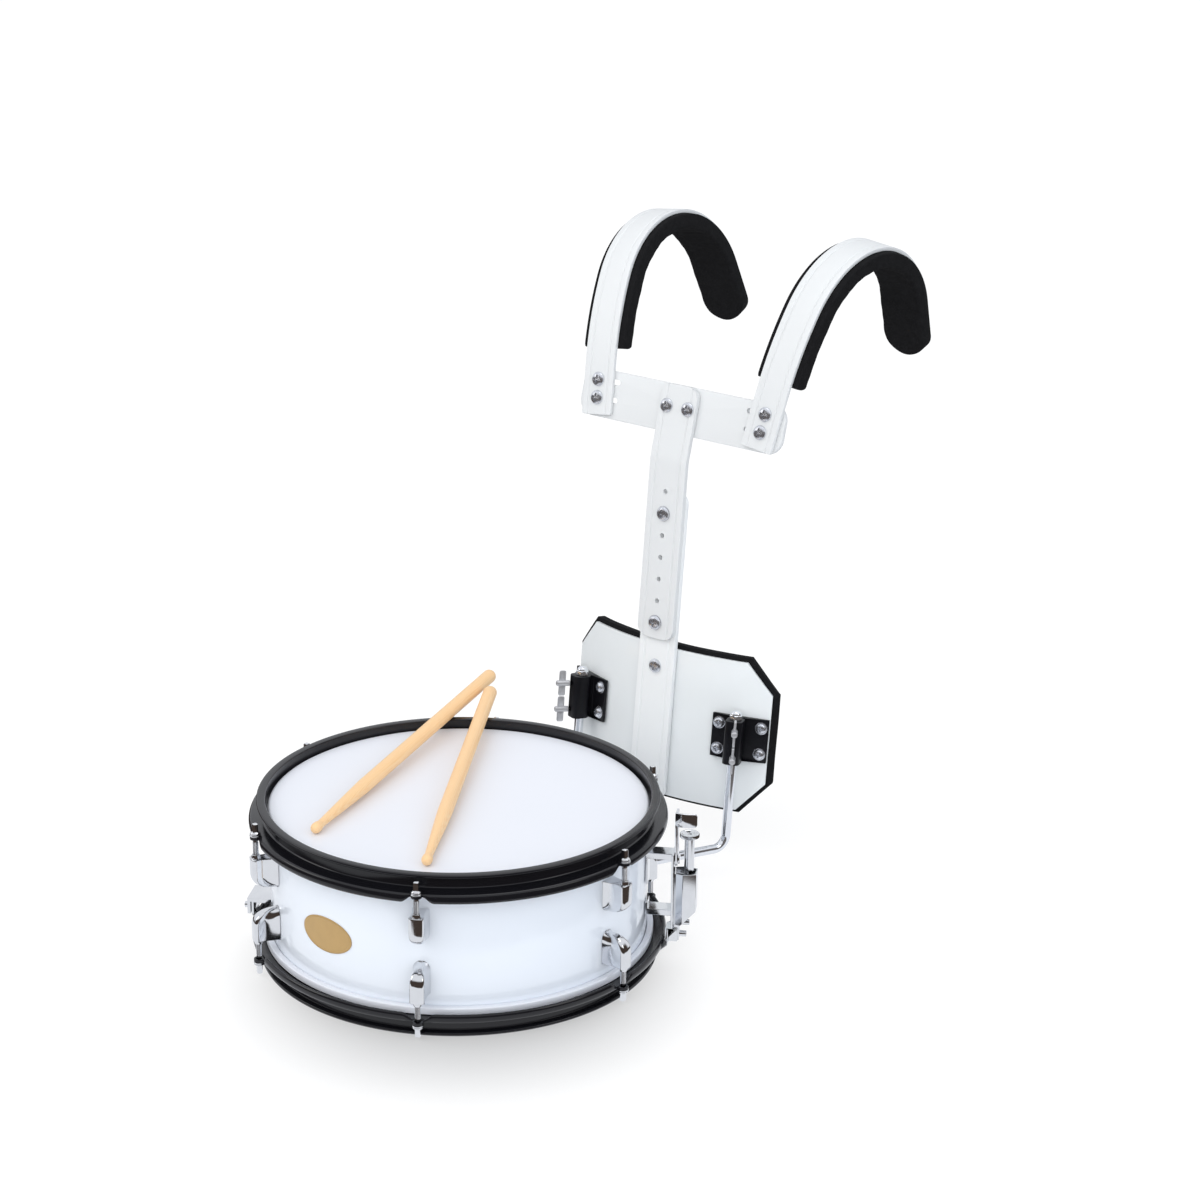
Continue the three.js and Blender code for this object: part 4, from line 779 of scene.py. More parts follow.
def lug_rings():
    """Plan sections from top to foot: wide at the shell, hollow at the sides, round at the front."""
    levels = np.concatenate([
        [0.0, 0.12, 0.4, 0.8], np.linspace(2.0, BODY_LEVEL, 7),
        BODY_LEVEL + (BODY_FOOT - BODY_LEVEL) * np.sin(np.linspace(0.06, 1.0, 24) * math.pi / 2),
        LUG_HEIGHT - (LUG_HEIGHT - BODY_FOOT) * (1 - np.sin(np.linspace(0.2, 1.0, 7) * math.pi / 2))])
    low = np.clip((levels - 15.0) / (BODY_FOOT - 15.0), 0.0, 1.0)
    depths = FOOT_DEPTH + (LUG_REACH - FOOT_DEPTH) * np.sqrt(1.0 - low ** 2.5)
    close = np.clip((levels - 17.0) / (BODY_FOOT + 0.3 - 17.0), 0.0, 1.0)
    fronts = np.sqrt(1.0 - close ** 2.1)
    backs = BACK_HALF * quarter((LUG_HEIGHT - levels) / BACK_HALF)
    edges = 0.6 * (1.0 - quarter(levels / 0.6))
    share = np.linspace(0.0, 1.0, 16)
    corner = np.linspace(0.0, math.pi / 2, 9)[1:]
    near, far = np.clip(1.0 - share / 0.85, 0.0, 1.0) ** 2, np.clip((share - 0.4) / 0.6, 0.0, 1.0) ** 2
    rings = []
    for level, depth, tall, back, less in zip(levels, depths, fronts, backs, edges):
        tip = max(FRONT_HALF * tall, back * 0.35)
        bend = min(FRONT_BEND, depth * 0.45, tip * 0.6)
        waist = WAIST * tip / FRONT_HALF
        side = waist + (back - waist) * near + (tip - waist) * far
        x = np.concatenate([side - less, tip - less - bend * (1 - np.cos(corner)), [(tip - bend) * 0.5, 0.0]])
        y = np.concatenate([share * (depth - bend), depth - bend + bend * np.sin(corner) - less,
                            depth - less + np.array([0.3, 0.4]) * tall])
        x, y = np.concatenate([x, -x[-2::-1]]), np.concatenate([y, y[-2::-1]])
        rings.append(points_of(x, -SEAT - y, LUG_TOP - level))
    return np.array(rings)


def lug_solid(matrix):
    """The casting, the cone on its top that leads the rod in, and a small domed screw head at its foot."""
    low, top = LUG_TOP - 2, LUG_TOP + CONE_HEIGHT
    cone = [(CONE_BORE, low), (CONE_FOOT, low), (CONE_FOOT, LUG_TOP + 1.2), (CONE_TIP, top), (CONE_BORE, top)]
    cone = turned(rounded(cone, [0.2, 0.2, 0.6, 0.4, 0.2], 3), 40)
    angle = circle(20)
    dome = ((1.6, 0.0), (1.65, 0.6), (1.5, 1.0), (1.1, 1.3), (0.5, 1.45))
    seat = -SEAT - FOOT_DEPTH + 0.3
    screw = np.array([points_of(r * np.sin(angle), seat - up, SCREW_LEVEL + r * np.cos(angle)) for r, up in dome])
    solid = Solid().tube(lug_rings(), matrix).grid(cone, True, True, matrix @ frame_at(y=-ROD_CIRCLE))
    return solid.tube(screw, matrix)


for i, ring in enumerate(LUG_FRAMES, 1):
    for side, matrix in (("upper", ring), ("lower", ring @ FLIP)):
        finish_piece(f"{side}_lug_cast_{i}", lug_solid(matrix), CHROME, f"{side}_lug_{i}", sharp=42)
print("lug rings", lug_rings().shape)

# %% [markdown]
# A tension rod has a square key head above a round flange, a loose washer, and a threaded shank with a
# plain neck under the washer. The head is a stack of rings whose outline goes from a circle to a rounded
# square: the radius in each direction is that of a superellipse, with exponent 2 for the circle and 8
# for the square.

# %% Tension rod
ROD_FOOT = LUG_TOP + CONE_HEIGHT - 12.0
WASHER_LOW = LEDGE_LOW + EAR_THICKNESS + 0.3
THREAD_PITCH = 0.9
THREAD_CREST, THREAD_DEPTH = 2.7, 0.25
NECK = 2.15
NECK_FOOT = WASHER_LOW - 5.5
# Height over the washer's foot, radius and exponent
HEAD_ROWS = (
    (1.2, 3.9, 2), (1.5, 4.6, 2), (2.1, 4.95, 2), (2.8, 4.8, 2), (3.4, 4.2, 2), (3.8, 3.4, 2.2),
    (4.3, 2.7, 5), (5.0, 2.45, 8), (11.0, 2.4, 8), (11.7, 2.25, 6), (12.0, 1.7, 4))


def rod_solid(matrix):
    """Threaded shank, washer and key head."""
    at = matrix @ frame_at(y=-ROD_CIRCLE)
    z = np.arange(ROD_FOOT, NECK_FOOT, THREAD_PITCH / 2)
    radius = THREAD_CREST - THREAD_DEPTH * (np.arange(len(z)) % 2)
    z, radius = np.append(z, [NECK_FOOT + 0.5, WASHER_LOW + 1.0]), np.append(radius, [NECK, NECK])
    low = WASHER_LOW
    washer = rounded([(2.9, low), (5.3, low), (5.3, low + 1.1), (2.9, low + 1.3)], 0.4, 3)
    head = np.array([points_of(*superellipse(r, power, 32).T, low + up) for up, r, power in HEAD_ROWS])
    solid = Solid().tube(turned(np.column_stack([radius, z]), 20), at)
    return solid.grid(turned(washer, 32), True, True, at).tube(head, at)


for i, ring in enumerate(LUG_FRAMES, 1):
    for side, matrix in (("top", ring), ("bottom", ring @ FLIP)):
        finish_piece(f"{side}_rod_turned_{i}", rod_solid(matrix), CHROME, f"{side}_tension_rod_{i}", sharp=45)
print("rods", 2 * LUGS)

# %% [markdown]
# ## Badge
# The badge is a thin oval of gold-coloured metal bent to the shell, left bare here. Its height over the
# shell is a function of the share of the way from its middle to its edge: a flat field, a small raised
# line near the edge and a rounded rim.

# %% Badge
BADGE_HALF = (30.0, 17.0)
BADGE_MIDDLE = SHELL_HIGH - 74.0
BADGE_ANGLE = -1.5

share = np.append(np.linspace(0.0, 0.86, 10), [0.885, 0.9, 0.925, 0.945, 0.965, 0.985, 0.996, 1.0, 1.0])
rise = np.interp(share, [0, 0.88, 0.905, 0.93, 0.95, 0.985, 1.0], [0.75, 0.72, 1.0, 1.0, 0.74, 0.62, 0.3])
rise[-1] = 0.0
around = circle(96)
x = BADGE_HALF[0] * share[:, None] * np.cos(around)
z = BADGE_MIDDLE + BADGE_HALF[1] * share[:, None] * np.sin(around)
front = points_of(x, -np.sqrt((SEAT + rise[:, None]) ** 2 - x ** 2), z)
back = np.broadcast_to(np.array([0.0, -SEAT, BADGE_MIDDLE]), front[-1:].shape)
solid = Solid().grid(np.concatenate([front, back]), False, True, frame_at(turn=BADGE_ANGLE))
finish_piece("badge_pressed", solid, GOLD, "badge", sharp=60)
print("badge", 2 * BADGE_HALF[0], "x", 2 * BADGE_HALF[1], "mm")

# %% [markdown]
# ## Snares, straps, strainer and butt
# The plates of the strainer, the butt and the receivers have the right shape in CAD. What they lack is
# the small radius that every bent or cast edge has, and which catches the light. So each one is a copy
# of its CAD mesh with its flat areas joined again and a Bevel modifier on its edges.

# %% Softened copies of plates
for cad, finish_, bevel in (
    ("snare_wires", WIRE, 0.0), ("strainer_strap", STRAP, 0.15), ("butt_strap", STRAP, 0.15),
    ("butt_plate", CHROME, 0.5), ("strainer_frame", CHROME, 0.35), ("strainer_cover", CHROME, 0.4),
    ("strainer_slide", CHROME, 0.4), ("rod_receiver_left", CHROME, 0.8), ("rod_receiver_right", CHROME, 0.8),
):
    softened(cad, finish_, bevel)

# %% [markdown]
# The knob is knurled: its rim's radius rises and falls with the angle. The lever is a flat bar whose
# tip is folded into a curved thumb tab with round corners, so it is a plate and a bent sheet.

# %% Knob
STRAINER = frame_at(turn=SNARE_ANGLE)
STRAINER_FACE = SHELL_RADIUS + 27.0
KNOB_AXIS = STRAINER_FACE + 13.3
KNOB_TOP = 130.6
KNOB_RADIUS = 9.2
KNOB_TEETH = 44
KNURL = 0.22
SLIDER_TOP = 84.0

disc = [(0, -2.6), (1.5, -2.6), (2.0, -0.9), (6.6, -0.7), (7.4, 0), (KNOB_RADIUS, 0), (KNOB_RADIUS, -4.0),
        (4.7, -4.0)]
stem = [(4.7, 0.3), (2.6, 0.3), (2.6, -12.0), (0, -12.0)]
profile = [(r, KNOB_TOP + z) for r, z in disc] + [(r, SLIDER_TOP + z) for r, z in stem]
profile = rounded(profile, 0.6, 3, closed=False)
sides = KNOB_TEETH * 4
rings = turned(profile, sides)
wave = KNURL * np.cos(np.arange(sides) * math.pi / 2) - KNURL
rim = (profile[:, 0] > KNOB_RADIUS - 0.35)[:, None]
rings[..., :2] *= (1.0 + np.where(rim, wave[None], 0.0) / KNOB_RADIUS)[..., None]
solid = Solid().grid(rings, False, True, STRAINER @ frame_at(y=-KNOB_AXIS))
finish_piece("knob_knurled", solid, CHROME, "snare_knob", sharp=40)
print("knob teeth", KNOB_TEETH)

# %% Lever
LEVER_HALF = 7.0
LEVER_TOP = 152.5
PIVOT_HEIGHT = 104.0
PIVOT_HOLE = 3.3
LEVER_FACE = STRAINER_FACE + 0.3
LEVER_THICKNESS = 2.5
TAB_HALF = 7.0
TAB_REACH = 18.0
TAB_THICKNESS = 2.0
TAB_BULGE = 1.6
TAB_CROWN = 0.6

aside, up, share = eye_plate(PIVOT_HOLE, LEVER_HALF, LEVER_TOP - PIVOT_HEIGHT, -1, 0.1, 64)
plate = points_of(aside, -LEVER_FACE - LEVER_THICKNESS * share, PIVOT_HEIGHT + up)
lever = Solid().grid(plate, True, True, STRAINER)

reach = np.linspace(0.0, 1.0, 22)
end = np.sqrt(np.clip(1.0 - np.clip((reach - 0.8) / 0.2, 0, 1) ** 2.6, 0.0, 1.0))
half_height = TAB_HALF * (0.72 + 0.28 * end)
half_height[-1] = TAB_HALF * 0.6
bow = -LEVER_HALF - TAB_BULGE * np.sin(reach * math.pi)
v = np.linspace(-0.95, 0.95, 15)
section = np.concatenate([[(0.3, -1), (0.7, -1)], np.column_stack([np.ones(15), v]), [(0.7, 1), (0.3, 1)],
                          np.column_stack([np.zeros(15), v[::-1]])])
tab = points_of(bow[:, None] + TAB_THICKNESS * section[None, :, 0] + TAB_CROWN * section[None, :, 1] ** 2,
                -(LEVER_FACE + (LEVER_THICKNESS + TAB_REACH) * reach[:, None]),
                LEVER_TOP - TAB_HALF + half_height[:, None] * section[None, :, 1])
finish_piece("lever_folded", lever.tube(tab, STRAINER), CHROME, "strainer_lever", sharp=50)
print("lever tab reaches", TAB_REACH, "mm")

# %% [markdown]
# ## Belly plate and pad
# The plate is an eight-sided sheet bent to a radius about an upright axis. Its half width is a function
# of height: full in the middle, and less near the top and bottom, where the corners are cut off. The
# foam behind it has the same outline a little larger, and its thickness rolls off towards its edge.

# %% Carrier frames
CARRIER_LEAN, EXTRA_LEAN = 5.5, 9.7
STEM_BEND = 410.0
CARRIER = frame_at(0, 278.2, 0, -CARRIER_LEAN, "X")
YOKE = CARRIER @ frame_at(0, 0, STEM_BEND, -EXTRA_LEAN, "X")
STEM_THICKNESS = 5.5
BELLY_FRONT = 2 * STEM_THICKNESS + 0.6
BELLY_RADIUS = 265.0
BELLY_CENTRE = BELLY_FRONT + BELLY_RADIUS
print("carrier leans", CARRIER_LEAN, "then", EXTRA_LEAN, "degrees more")


# %% Bent eight-sided sheet
def bent_sheet(radius, half_width, up, cut, thickness, rows=48, columns=61):
    """Front and back grids of the sheet. Half width is full, less a share of the cut near each end.

    x = s w(z), y = centre - sqrt(r^2 - x^2); thickness is a function of the distance from the edge."""
    low, high = up
    near_end = np.array([0.4, 1.2, 2.6, cut[1]])
    z = np.unique(np.concatenate([np.linspace(low, high, rows), low + near_end, high - near_end]))
    from_end = np.minimum(z - low, high - z)
    width = half_width - cut[0] * np.clip(1.0 - from_end / cut[1], 0.0, 1.0)
    x = np.sin(np.linspace(-1.0, 1.0, columns) * math.pi / 2) * width[:, None]
    to_side, to_end = half_width - np.abs(x), from_end[:, None]
    to_corner = (to_side * cut[1] + to_end * cut[0] - cut[0] * cut[1]) / math.hypot(*cut)
    deep = thickness(np.clip(np.minimum(np.minimum(to_side, to_end), to_corner), 0.0, None))
    front = points_of(x, BELLY_CENTRE - np.sqrt(radius ** 2 - x ** 2), z[:, None])
    centre = np.array([0.0, BELLY_CENTRE])
    back = front.copy()
    back[..., :2] = centre + (front[..., :2] - centre) * (radius - deep[..., None]) / radius
    return front, back


def closed_sheet(front, back):
    """Joins the two grids at their edges by folding them into one closed surface."""
    solid = Solid().grid(np.concatenate([front, back[:, ::-1]], 1), False, True, CARRIER)
    for end in (0, -1):
        solid.grid(np.stack([front[end], back[end]]), matrix=CARRIER)
    return solid


def foam_roll(distance):
    """Ten millimetres thick, rolled off over the last three by a quarter of an ellipse."""
    return 7.6 + 2.4 * quarter(distance / 3.0)


front, back = bent_sheet(BELLY_RADIUS, 121.5, (62.5, 217.0), (25.5, 31.0), lambda d: np.full(d.shape, 3.0))
finish_piece("belly_plate_bent", closed_sheet(front, back), PLATE, "belly_plate", sharp=30, bevel=0.6)

front, back = bent_sheet(BELLY_RADIUS - 3.3, 126.3, (59.5, 221.6), (28.5, 35.5), foam_roll, 60, 81)
back[..., 1] += 0.25 * np.sin(back[..., 0] * 0.11 + 1.0) * np.sin(back[..., 2] * 0.09) - 0.25
belly_pad = finish_piece("belly_pad_foam", closed_sheet(front, back), FOAM, "belly_pad", sharp=40)
print("belly pad faces", len(belly_pad.data.polygons))

# %% [markdown]
# ## Bent rods and their cap nuts
# A chromed steel rod comes out of its receiver, turns up through a round bend and passes the bracket's
# tube. It is a circle carried along a path with one rounded corner. Its cap nut is a hexagon with a dome.

# %% Bent rods
BRACKET_X = 94.6
BRACKET_MIDDLE = 139.6
BRACKET_HEIGHT = 45.0
BRACKET_TURN = math.asin(BRACKET_X / BELLY_RADIUS)
BRACKET_DEPTH = BELLY_CENTRE - math.sqrt(BELLY_RADIUS ** 2 - BRACKET_X ** 2)
TUBE_OFFSET, TUBE_SHIFT = 15.5, 2.4
TUBE_X = BRACKET_X + TUBE_OFFSET * math.sin(BRACKET_TURN) - TUBE_SHIFT * math.cos(BRACKET_TURN)
TUBE_DEPTH = BRACKET_DEPTH - TUBE_OFFSET * math.cos(BRACKET_TURN) - TUBE_SHIFT * math.sin(BRACKET_TURN)
TUBE_TOP = BRACKET_MIDDLE + BRACKET_HEIGHT / 2
J_RADIUS = 4.75
J_BEND = 14.0
J_CORNER = 27.3
RECEIVER_AXIS = 34.9
RECEIVER_EDGE = 3.0
MIRROR_X = Matrix.Scale(-1, 4, (1, 0, 0))

corner, top = (np.array(CARRIER @ Vector((TUBE_X, TUBE_DEPTH, up))) for up in (J_CORNER, TUBE_TOP + 0.6))
out = math.hypot(corner[0], corner[1])
slope = (corner[2] - RECEIVER_AXIS) / (out - SEAT)
start = np.append(corner[:2] * (SEAT + RECEIVER_EDGE) / out, RECEIVER_AXIS + slope * RECEIVER_EDGE)
along, rise = unit(corner - start), unit(top - corner)
bend = math.acos(float(along @ rise))
route = rounded([start, corner, top], J_BEND * math.tan(bend / 2), 18, closed=False)
rod_rings = carried(superellipse(J_RADIUS, 2, 28), route, unit(np.cross(along, rise)))


def hexagon(radius, angle):
    """Radius in each direction of a hexagon with its corners at a radius."""
    return radius * math.cos(math.pi / 6) / np.cos((angle + math.pi / 6) % (math.pi / 3) - math.pi / 6)


def cap_nut():
    """Rings of a hexagon with rounded ends, then a dome: radius falls as the root of 1 - h^2."""
    angle = circle(36)
    rows = [(z, hexagon(7.0, angle) * scale * (1 - round_share) + 6.0 * round_share)
            for z, scale, round_share in ((0.0, 0.9, 0.2), (0.5, 1.0, 0.0), (4.2, 1.0, 0.0), (4.9, 0.9, 0.6))]
    dome = np.sin(np.linspace(0.0, 1.0, 8)[:-1] * math.pi / 2)
    rows += [(5.0 + 4.0 * h, 5.6 * math.sqrt(1 - h * h)) for h in dome]
    return np.array([points_of(radius * np.sin(angle), radius * np.cos(angle), z) for z, radius in rows])


at_cap = CARRIER @ frame_at(TUBE_X, TUBE_DEPTH, TUBE_TOP + 0.3)
for (_, label), matrix in zip(SIDES, (IDENTITY, MIRROR_X)):
    solid = Solid().tube(rod_rings, matrix).tube(cap_nut(), matrix @ at_cap)
    # The bent rods and their cap nuts take the brighter chrome copy, a painted reflection.
    finish_piece(f"bent_rod_formed_{label}", solid, CHROME_PAINTED_REFLECTION, f"bent_rod_{label}", sharp=35)
print("bent rod turns", round(math.degrees(bend), 1), "degrees")

# %% [markdown]
# ## Stems, crossbar and shoulder bars
# All are flat aluminium bars under white powder coat. The stems and the shoulder bars have a shallow
# groove along each edge. A bar is its section carried along its path. Its rounded ends come from
# clipping the section's width: near an end the half width is what a circle leaves. Holes and slots are
# then cut with an exact Boolean.

# %% Grooved bars
GROOVE_DEPTH = 1.1
GROOVE_WIDTH = 2.4
GROOVE_INSET = 6.0
EDGE_ROUND = 0.6


def grooved(width, thickness):
    """Section of a flat bar, with its front at +y and a groove near each edge."""
    half = width / 2
    near = half - GROOVE_INSET
    far = near - GROOVE_WIDTH
    middle, front = (near + far) / 2, thickness - GROOVE_DEPTH
    right = [(half, 0), (half, thickness), (near, thickness), (middle, front), (far, thickness)]
    corners = [(-half, 0)] + right + [(-x, y) for x, y in right[:0:-1]]
    bend = [EDGE_ROUND, EDGE_ROUND, EDGE_ROUND, 0.3, 0.5, 0.3, 0.3, 0.5, 0.3, EDGE_ROUND]
    return rounded(corners, bend, 3)


def lengths(stations):
    """Distance travelled at each station."""
    return np.append(0.0, np.cumsum(np.linalg.norm(np.diff(stations, axis=0), axis=1)))


def clipped_bar(section, stations, radius, thickness):
    """The section carried along the path, its width clipped to round corners at both ends."""
    travelled = lengths(stations)
    half = section[:, 0].max()
    sections = []
    for from_end in np.minimum(travelled, travelled[-1] - travelled):
        limit = half - radius + radius * quarter(from_end / radius)
        soft = max(0.0, 0.4 - 1.2 * from_end)
        squeezed = thickness / 2 + (section[:, 1] - thickness / 2) * (1.0 - 2 * soft / thickness)
        sections.append(np.column_stack([np.clip(section[:, 0], -limit + soft, limit - soft), squeezed]))
    return carried(np.array(sections), stations)


STEM_WIDTH = 44.0
STEM_CORNER = 12.0
BEND_RADIUS = 45.0
LOWER_FOOT, LOWER_TOP = 57.5, STEM_BEND - 32.0
LOWER_DEPTH = 2 * STEM_THICKNESS + 0.3
UPPER_FOOT, UPPER_TOP = 226.5, 74.4
HOLE_PITCH = 22.5
FIRST_HOLE = STEM_BEND - 167.0
HOLE_RADIUS = 2.6
# Distances from an end that follow its rounded corner closely
NEAR_END = np.append([0.0, 0.12, 0.35], crowded(STEM_CORNER, 12, 0.25))


def make_stem(cad, depths, levels, material, holes, drill):
    """A grooved bar along a path in the carrier's middle plane, with its row of holes."""
    path = points_of(np.zeros(len(levels)), depths, levels)
    section = grooved(STEM_WIDTH, STEM_THICKNESS)
    solid = Solid().tube(clipped_bar(section, path, STEM_CORNER, STEM_THICKNESS), CARRIER)
    cutter = Solid()
    for i in range(holes):
        z = FIRST_HOLE + i * HOLE_PITCH
        cutter.tube(pin((0, drill[0], z), (0, drill[1], z), HOLE_RADIUS), CARRIER)
    dress(f"{cad}_bar", carve(solid_mesh(cad, solid), cutter), material, cad, sharp=24)


levels = np.append(LOWER_FOOT + NEAR_END, LOWER_TOP - NEAR_END[::-1])
# The lower stem takes the lighter copy of the powder coat, painted light for the lesser light it gets.
make_stem("lower_stem", LOWER_DEPTH, levels, POWDER_PAINTED_LIGHTER, 6, (4, 13))

lean = math.radians(EXTRA_LEAN)
turn = np.linspace(0.0, lean, 14)
depths = STEM_THICKNESS + BEND_RADIUS * (1 - np.cos(turn))
levels = STEM_BEND - BEND_RADIUS * math.tan(lean / 2) + BEND_RADIUS * np.sin(turn)
tip = np.array([STEM_THICKNESS + UPPER_TOP * math.sin(lean), STEM_BEND + UPPER_TOP * math.cos(lean)])
straight = tip - unit(tip - (depths[-1], levels[-1])) * NEAR_END[::-1, None]
depths = np.concatenate([np.full(len(NEAR_END), STEM_THICKNESS), depths, straight[:, 0]])
levels = np.concatenate([UPPER_FOOT + NEAR_END, levels, straight[:, 1]])
make_stem("upper_stem", depths, levels, POWDER, 7, (-2, 7))
print("stems", LOWER_TOP - LOWER_FOOT, "and", round(STEM_BEND + UPPER_TOP - UPPER_FOOT, 1), "mm long")

# %% Crossbar
CROSS_HALF = 124.0
CROSS_LOW, CROSS_HIGH = 26.8, 75.2
CROSS_CORNER = 16.0
CROSS_FRONT = STEM_THICKNESS + 0.3
CROSS_THICKNESS = 5.0
CROSS_MIDDLE = (CROSS_LOW + CROSS_HIGH) / 2
SLOT_NEAR, SLOT_FAR, SLOT_HALF = 78.0, 118.0, 2.75
SLOT_LEVELS = (CROSS_MIDDLE + 13.2, CROSS_MIDDLE - 5.0)


def round_rect(x, z, radius, steps=12):
    """Outline of a rectangle with round corners, in x and z."""
    return rounded([(x[0], z[0]), (x[1], z[0]), (x[1], z[1]), (x[0], z[1])], radius, steps)


def inset(outline, distance):
    """The outline moved inwards along its normals."""
    along = unit(np.roll(outline, -1, 0) - np.roll(outline, 1, 0))
    return outline + np.column_stack([-along[:, 1], along[:, 0]]) * distance


def upright(outline, y):
    """A ring from an outline in x and z."""
    return points_of(outline[:, 0], y, outline[:, 1])


def slab(outline, front, back, edge):
    """Rings of a plate whose outline runs in x and z, with rounded edges at its front and back."""
    rows = [(edge * (1 - math.sin(share)), front + edge * (1 - math.cos(share)))
            for share in np.linspace(0.0, math.pi / 2, 5)]
    rows += [(less, front + back - y) for less, y in rows[::-1]]
    return np.array([upright(inset(outline, less), y) for less, y in rows])


outline = round_rect((-CROSS_HALF, CROSS_HALF), (CROSS_LOW, CROSS_HIGH), CROSS_CORNER)
solid = Solid().tube(slab(outline, CROSS_FRONT, CROSS_FRONT + CROSS_THICKNESS, 0.8), YOKE)
slots = Solid()
for z in SLOT_LEVELS:
    for side in (-1, 1):
        x = sorted((side * SLOT_NEAR, side * SLOT_FAR))
        shape = round_rect(x, (z - SLOT_HALF, z + SLOT_HALF), SLOT_HALF, 10)
        slots.tube(np.array([upright(shape, y) for y in (4.0, 13.0)]), YOKE)
dress("crossbar_plate", carve(solid_mesh("crossbar", solid), slots), POWDER, "crossbar", sharp=24)
print("crossbar", 2 * CROSS_HALF, "mm")

# %% [markdown]
# A shoulder bar runs straight up from the crossbar, bends back a little, goes over the shoulder in one
# large arc and ends in a short straight tail. The path is walked in small steps: each step turns by
# its length over the radius. The pad follows the same path on the inner side.

# %% Shoulder path and bars
SHOULDER_X = 98.5
SHOULDER_TILT = 6.8
SHOULDER_FOOT = 28.8
BAR_WIDTH = 36.0
BAR_THICKNESS = 4.0
BAR_CORNER = 2.5
SLIGHT, ARCH = (316.0, math.radians(16.1)), (101.0, math.radians(126.9))
# Length and turn per millimetre of each run: straight, slight bend, arch over the shoulder, straight tail
RUNS = ((54.5, 0.0), (SLIGHT[0] * SLIGHT[1], 1 / SLIGHT[0]), (ARCH[0] * ARCH[1], 1 / ARCH[0]), (51.5, 0.0))


def shoulder_path(offset, step=3.0, extra=0.0):
    """Points along the bar's back face, moved inwards by the offset, and the distance travelled."""
    depth = up = heading = 0.0
    rows = [(0.0, 0.0, 0.0, 0.0)]
    for length, bend in RUNS[:-1] + ((RUNS[-1][0] + extra, 0.0),):
        steps = max(2, round(length / step))
        part = length / steps
        for _ in range(steps):
            middle = heading + part * bend / 2
            depth += part * math.sin(middle)
            up += part * math.cos(middle)
            heading += part * bend
            rows.append((depth, up, heading, rows[-1][3] + part))
    depth, up, heading, travelled = np.array(rows).T
    return points_of(0.0, depth + offset * np.cos(heading), up - offset * np.sin(heading)), travelled


def shoulder_frame(side):
    """The foot of a shoulder bar, leaning outwards."""
    return YOKE @ frame_at(side * SHOULDER_X, STEM_THICKNESS, SHOULDER_FOOT, side * SHOULDER_TILT, "Y")


bar_path, _ = shoulder_path(0.0)
near = np.array([0.04, 0.12, 0.3])[:, None]
head = bar_path[0] + (bar_path[1] - bar_path[0]) * near
tail = bar_path[-1] + (bar_path[-2] - bar_path[-1]) * near
bar_path = np.concatenate([bar_path[:1], head, bar_path[1:-1], tail[::-1], bar_path[-1:]])
bar_rings = clipped_bar(grooved(BAR_WIDTH, BAR_THICKNESS), bar_path, BAR_CORNER, BAR_THICKNESS)
for side, label in SIDES:
    solid = Solid().tube(bar_rings, shoulder_frame(side))
    finish_piece(f"shoulder_bar_bent_{label}", solid, POWDER, f"shoulder_bar_{label}", sharp=24)
print("shoulder bar", round(float(lengths(bar_path)[-1]), 1), "mm long")

# %% [markdown]
# The pad is a strip of foam. Its section has one flat side on the bar and soft corners below. The
# section's width and thickness shrink at both ends by a quarter of an ellipse, and its underside has
# a faint unevenness, so it doesn't look extruded.

# %% Shoulder pads
PAD_HALF = 25.0
PAD_THICKNESS = 16.0
PAD_START = 68.0
PAD_OVERHANG = 13.5
PAD_BEGIN, PAD_ROLL, PAD_END = 4.0, 13.0, 22.0
PAD_GAP = 0.3
PAD_EDGES = (1.6, 1.6, 4.0, 4.0)


def pad_rings():
    """Sections of the pad along its path; its width and its thickness are functions of the distance."""
    path, travelled = shoulder_path(PAD_GAP, 1.5, PAD_OVERHANG)
    keep = travelled >= PAD_START - 0.5
    path, travelled = path[keep], travelled[keep]
    first, last = travelled[0], travelled[-1]
    inner = travelled[(travelled > first + PAD_BEGIN) & (travelled < last - PAD_END)]
    stations = np.concatenate([first + crowded(PAD_BEGIN, 6), inner, last - crowded(PAD_END, 18, 0.06)])
    stations = np.unique(stations)
    path = np.column_stack([np.interp(stations, travelled, path[:, k]) for k in range(3)])
    corners = [(-PAD_HALF, 0), (PAD_HALF, 0), (PAD_HALF, -PAD_THICKNESS), (-PAD_HALF, -PAD_THICKNESS)]
    section = rounded(corners, PAD_EDGES, 6)
    low = np.clip(-section[:, 1] / PAD_THICKNESS, 0, 1)
    sections = []
    for t in stations:
        begun, left = min((t - first) / PAD_BEGIN, 1.0), last - t
        width = quarter(left / PAD_END) * (1.0 - 0.05 * (1 - begun) ** 2)
        deep = 0.55 + 0.45 * quarter(begun)
        rolled = 0.3 + 0.7 * quarter(left / PAD_ROLL)
        wave = 0.35 * math.sin(t * 0.13) + 0.2 * math.sin(t * 0.41 + 1)
        shape = section * np.array([width, deep])
        shape[:, 1] = (shape[:, 1] + PAD_THICKNESS) * rolled - PAD_THICKNESS + wave * low * (deep > 0.99)
        sections.append(shape)
    return carried(np.array(sections), path)


rings = pad_rings()
for side, label in SIDES:
    solid = Solid().tube(rings, shoulder_frame(side))
    pad = finish_piece(f"shoulder_pad_foam_{label}", solid, FOAM, f"shoulder_pad_{label}", sharp=50)
print("pad rings", rings.shape)

# %% [markdown]
# ## Fasteners
# The bolts are too small to be pieces of their own in CAD, and they are all alike. One pan head with a
# cross recess is made once, by cutting a cross out of a turned dome. Its points are then copied to every
# place, together with washers and nuts, and each group rides on the body that it holds.

# %% Bolt parts
def mesh_parts(mesh):
    """Points in millimetres about the drum's axis, and faces as lists."""
    points = np.empty(len(mesh.vertices) * 3)
    mesh.vertices.foreach_get("co", points)
    return (points.reshape(-1, 3) - AXIS) / MM, [tuple(face.vertices) for face in mesh.polygons]


